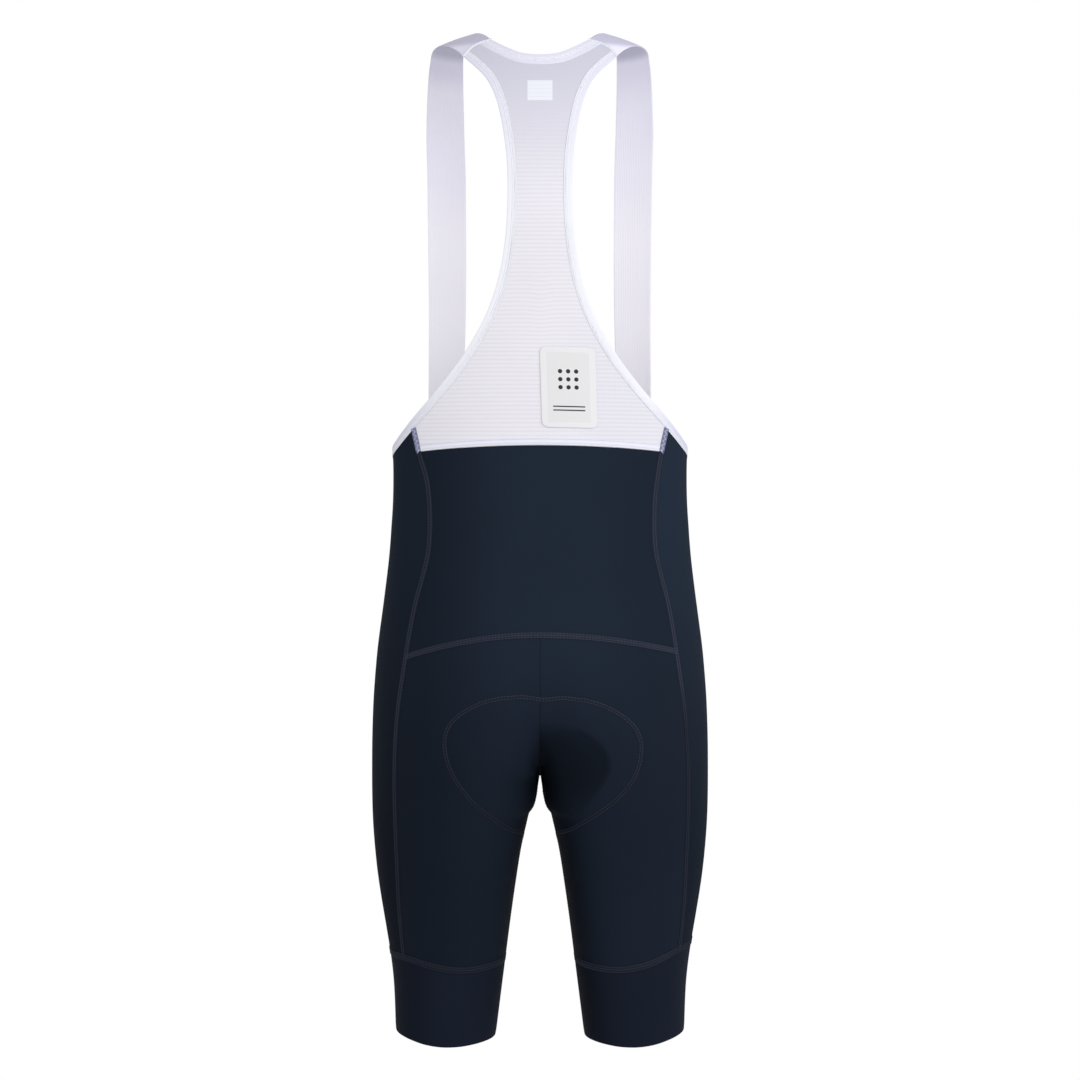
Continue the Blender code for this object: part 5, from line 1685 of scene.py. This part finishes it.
class SHORTS_OT_stitching(ShortsPiece, bpy.types.Operator):
    """Makes the stitched seams"""
    bl_idname = "shorts.stitching"
    bl_label = "Stitching"

    def build(self, sizes):
        tree = seam_tree()
        knit, net, tape = (thick / MM / 2 for thick in (sizes.knit, sizes.net, sizes.tape))
        faces = {"knit": knit, "knit_inside": -knit, "net": net, "tape": tape}
        paths = self.paths()
        for row in SEAMS:
            seam = dict(zip(SEAM_COLUMNS, row))
            name = seam["name"]
            given = {"Pitch": sizes.stitch, "Thread": sizes.thread, "Material": materials[seam["material"]],
                     "Band Material": materials[seam["band"]]}
            given.update({label: seam[label] for label in SEAM_SIZES if seam.get(label) is not None})
            move = settle if name == "pad" else hung
            laid = [on_skin(move(path), faces[seam["cloth"]] + seam["rise"]) for path in paths[name]]
            piece = grown(f"seam_{name}", laid, [outward(path) for path in laid], tree, given,
                          closed=name in CLOSED_SEAMS)
            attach(piece, "root")

    @staticmethod
    def paths():
        """The paths that each seam runs along."""
        side, _ = joined(lines.side_middle, lines.side_low)
        yoke, _ = joined(mirrored(lines.yoke, -1)[::-1], lines.yoke)
        waist, _ = joined(mirrored(lines.waist, -1)[::-1], lines.waist)
        pad, _ = joined(lines.pad, mirrored(lines.pad, -1)[::-1])
        pad = settle(pad + pad_shift(pad))
        around = np.linspace(-180, 180, 241)[:-1]
        paths = {
            "sides": both_sides(even(side, 260), even(lines.front, 260)),
            "yoke": [even(yoke, 140)],
            "yoke_loops": [even(yoke, 140)],
            "pad": [even(pad, 400)[:-1]],
            "leg_bands": both_sides(at(around, ring_level(BAND_SEAM, around))),
            "inseams": both_sides(even(lines.inseam, 80)[INSEAM_START:]),
            "middles": [even(line, 120) for line in (lines.middle_seat, lines.middle_front)],
            "corners": both_sides(even(lines.side_top, 14)),
            "shoulders": both_sides(even(lines.shoulder, 30)),
            "bindings": [],
        }
        for name, distance in WAIST_ROWS.items():
            paths[name] = [beside(even(waist, 130), -distance)]
        for edge, inner, count in ((lines.neck, lines.neck_inner, 60), (lines.edge, lines.inner, 300)):
            for share in BINDING_ROWS:
                paths["bindings"] += both_sides(even(settle(edge + share * (inner - edge)), count))
        return paths


AMBIENT = 0.79          # share of the white surroundings that lights the cloth
FLOOR_TONE, FLOOR_GLOW = (0.86, 0.86, 0.86, 1), 0.2
FLOOR_RADIUS, FLOOR_LEVEL = 2.1, -1.5
AIM = (0, 0, -0.45)
# Lights (name, place, power, width).
LIGHTS = (
    ("key", -0.5, 1.6, 0.3, 6.5, 1.0),
    ("right", -1.7, 1.3, 0.2, 8.0, 1.0),
    ("front", 0.8, -2.4, 0.6, 10.0, 1.6),
)
SENSOR, CAMERA_AWAY, CAMERA_LEVEL = 36.0, 2600, -0.484
SEEN_HALF = 523.8       # half of what the camera sees at the middle of the garment, in millimetres


class SHORTS_OT_stage(bpy.types.Operator):
    """Makes the floor, the lights, the world and the camera"""
    bl_idname = "shorts.stage"
    bl_label = "Stage"
    bl_options = {"REGISTER", "UNDO"}

    def execute(self, context):
        scene = context.scene
        self.floor()
        world = scene.world or bpy.data.worlds.new("studio")
        scene.world = world
        world.use_nodes = True
        graph = Graph(world.node_tree)
        ground = world.node_tree.nodes["Background"]
        seen = graph.add("ShaderNodeLightPath").outputs["Is Camera Ray"]
        strength = graph.math("MULTIPLY_ADD", seen, 1 - AMBIENT, AMBIENT)
        world.node_tree.links.new(strength, ground.inputs["Strength"])
        ground.inputs["Color"].default_value = (1, 1, 1, 1)

        for name, *place, power, wide in LIGHTS:
            data = bpy.data.lights.new(name, "AREA")
            data.energy, data.size = power, wide
            light = scene_object(name, data)
            light.location = place
            light.rotation_euler = (Vector(AIM) - light.location).to_track_quat("-Z", "Y").to_euler()
            light.visible_camera = False

        data = bpy.data.cameras.new("camera")
        data.sensor_width, data.lens = SENSOR, SENSOR / 2 * CAMERA_AWAY / SEEN_HALF
        data.clip_start, data.clip_end = 0.1, 20.0
        camera = scene_object("camera", data)
        camera.location = (0.0, CAMERA_AWAY * MM, CAMERA_LEVEL)
        camera.rotation_euler = (math.pi / 2, 0.0, math.pi)
        scene.camera = camera
        scene.view_settings.view_transform = "Standard"
        return {"FINISHED"}

    @staticmethod
    def floor():
        """A white disc that glows a little for the camera alone."""
        bpy.ops.mesh.primitive_circle_add(vertices=128, radius=FLOOR_RADIUS, fill_type="NGON",
                                          location=(0, 0, FLOOR_LEVEL))
        floor = bpy.context.object
        floor.name = "floor"
        material = bpy.data.materials.new("floor")
        material.use_nodes = True
        shader = material.node_tree.nodes["Principled BSDF"]
        shader.inputs["Base Color"].default_value = FLOOR_TONE
        shader.inputs["Roughness"].default_value = 0.9
        shader.inputs["Emission Color"].default_value = (1, 1, 1, 1)
        graph = Graph(material.node_tree)
        glow = graph.times(graph.add("ShaderNodeLightPath").outputs["Is Camera Ray"], FLOOR_GLOW)
        material.node_tree.links.new(glow, shader.inputs["Emission Strength"])
        floor.data.materials.append(material)


OPERATORS = (
    SHORTS_OT_net_back, SHORTS_OT_panels, SHORTS_OT_leg_bands, SHORTS_OT_bindings, SHORTS_OT_straps,
    SHORTS_OT_seat_pad, SHORTS_OT_labels, SHORTS_OT_stitching, SHORTS_OT_stage,
)


class SHORTS_PT_panel(bpy.types.Panel):
    """Sidebar panel that lists the pieces and their sizes and colours"""
    bl_idname = "SHORTS_PT_panel"
    bl_label = "Bib shorts"
    bl_space_type = "VIEW_3D"
    bl_region_type = "UI"
    bl_category = "Bib shorts"

    def draw(self, context):
        layout = self.layout
        for operator in OPERATORS:
            layout.operator(operator.bl_idname)
        for group in (context.scene.shorts_sizes, context.scene.shorts_colours):
            column = layout.column()
            for name in group.__annotations__:
                column.prop(group, name)


CLASSES = (ShortsSizes, ShortsColours, *OPERATORS, SHORTS_PT_panel)


def register():
    for kind in CLASSES:
        bpy.utils.register_class(kind)
    bpy.types.Scene.shorts_sizes = bpy.props.PointerProperty(type=ShortsSizes)
    bpy.types.Scene.shorts_colours = bpy.props.PointerProperty(type=ShortsColours)


def unregister():
    del bpy.types.Scene.shorts_sizes
    del bpy.types.Scene.shorts_colours
    for kind in reversed(CLASSES):
        bpy.utils.unregister_class(kind)


def main():
    register()
    for operator in OPERATORS:
        family, name = operator.bl_idname.split(".")
        getattr(getattr(bpy.ops, family), name)()
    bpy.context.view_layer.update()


if __name__ == "__main__":
    main()
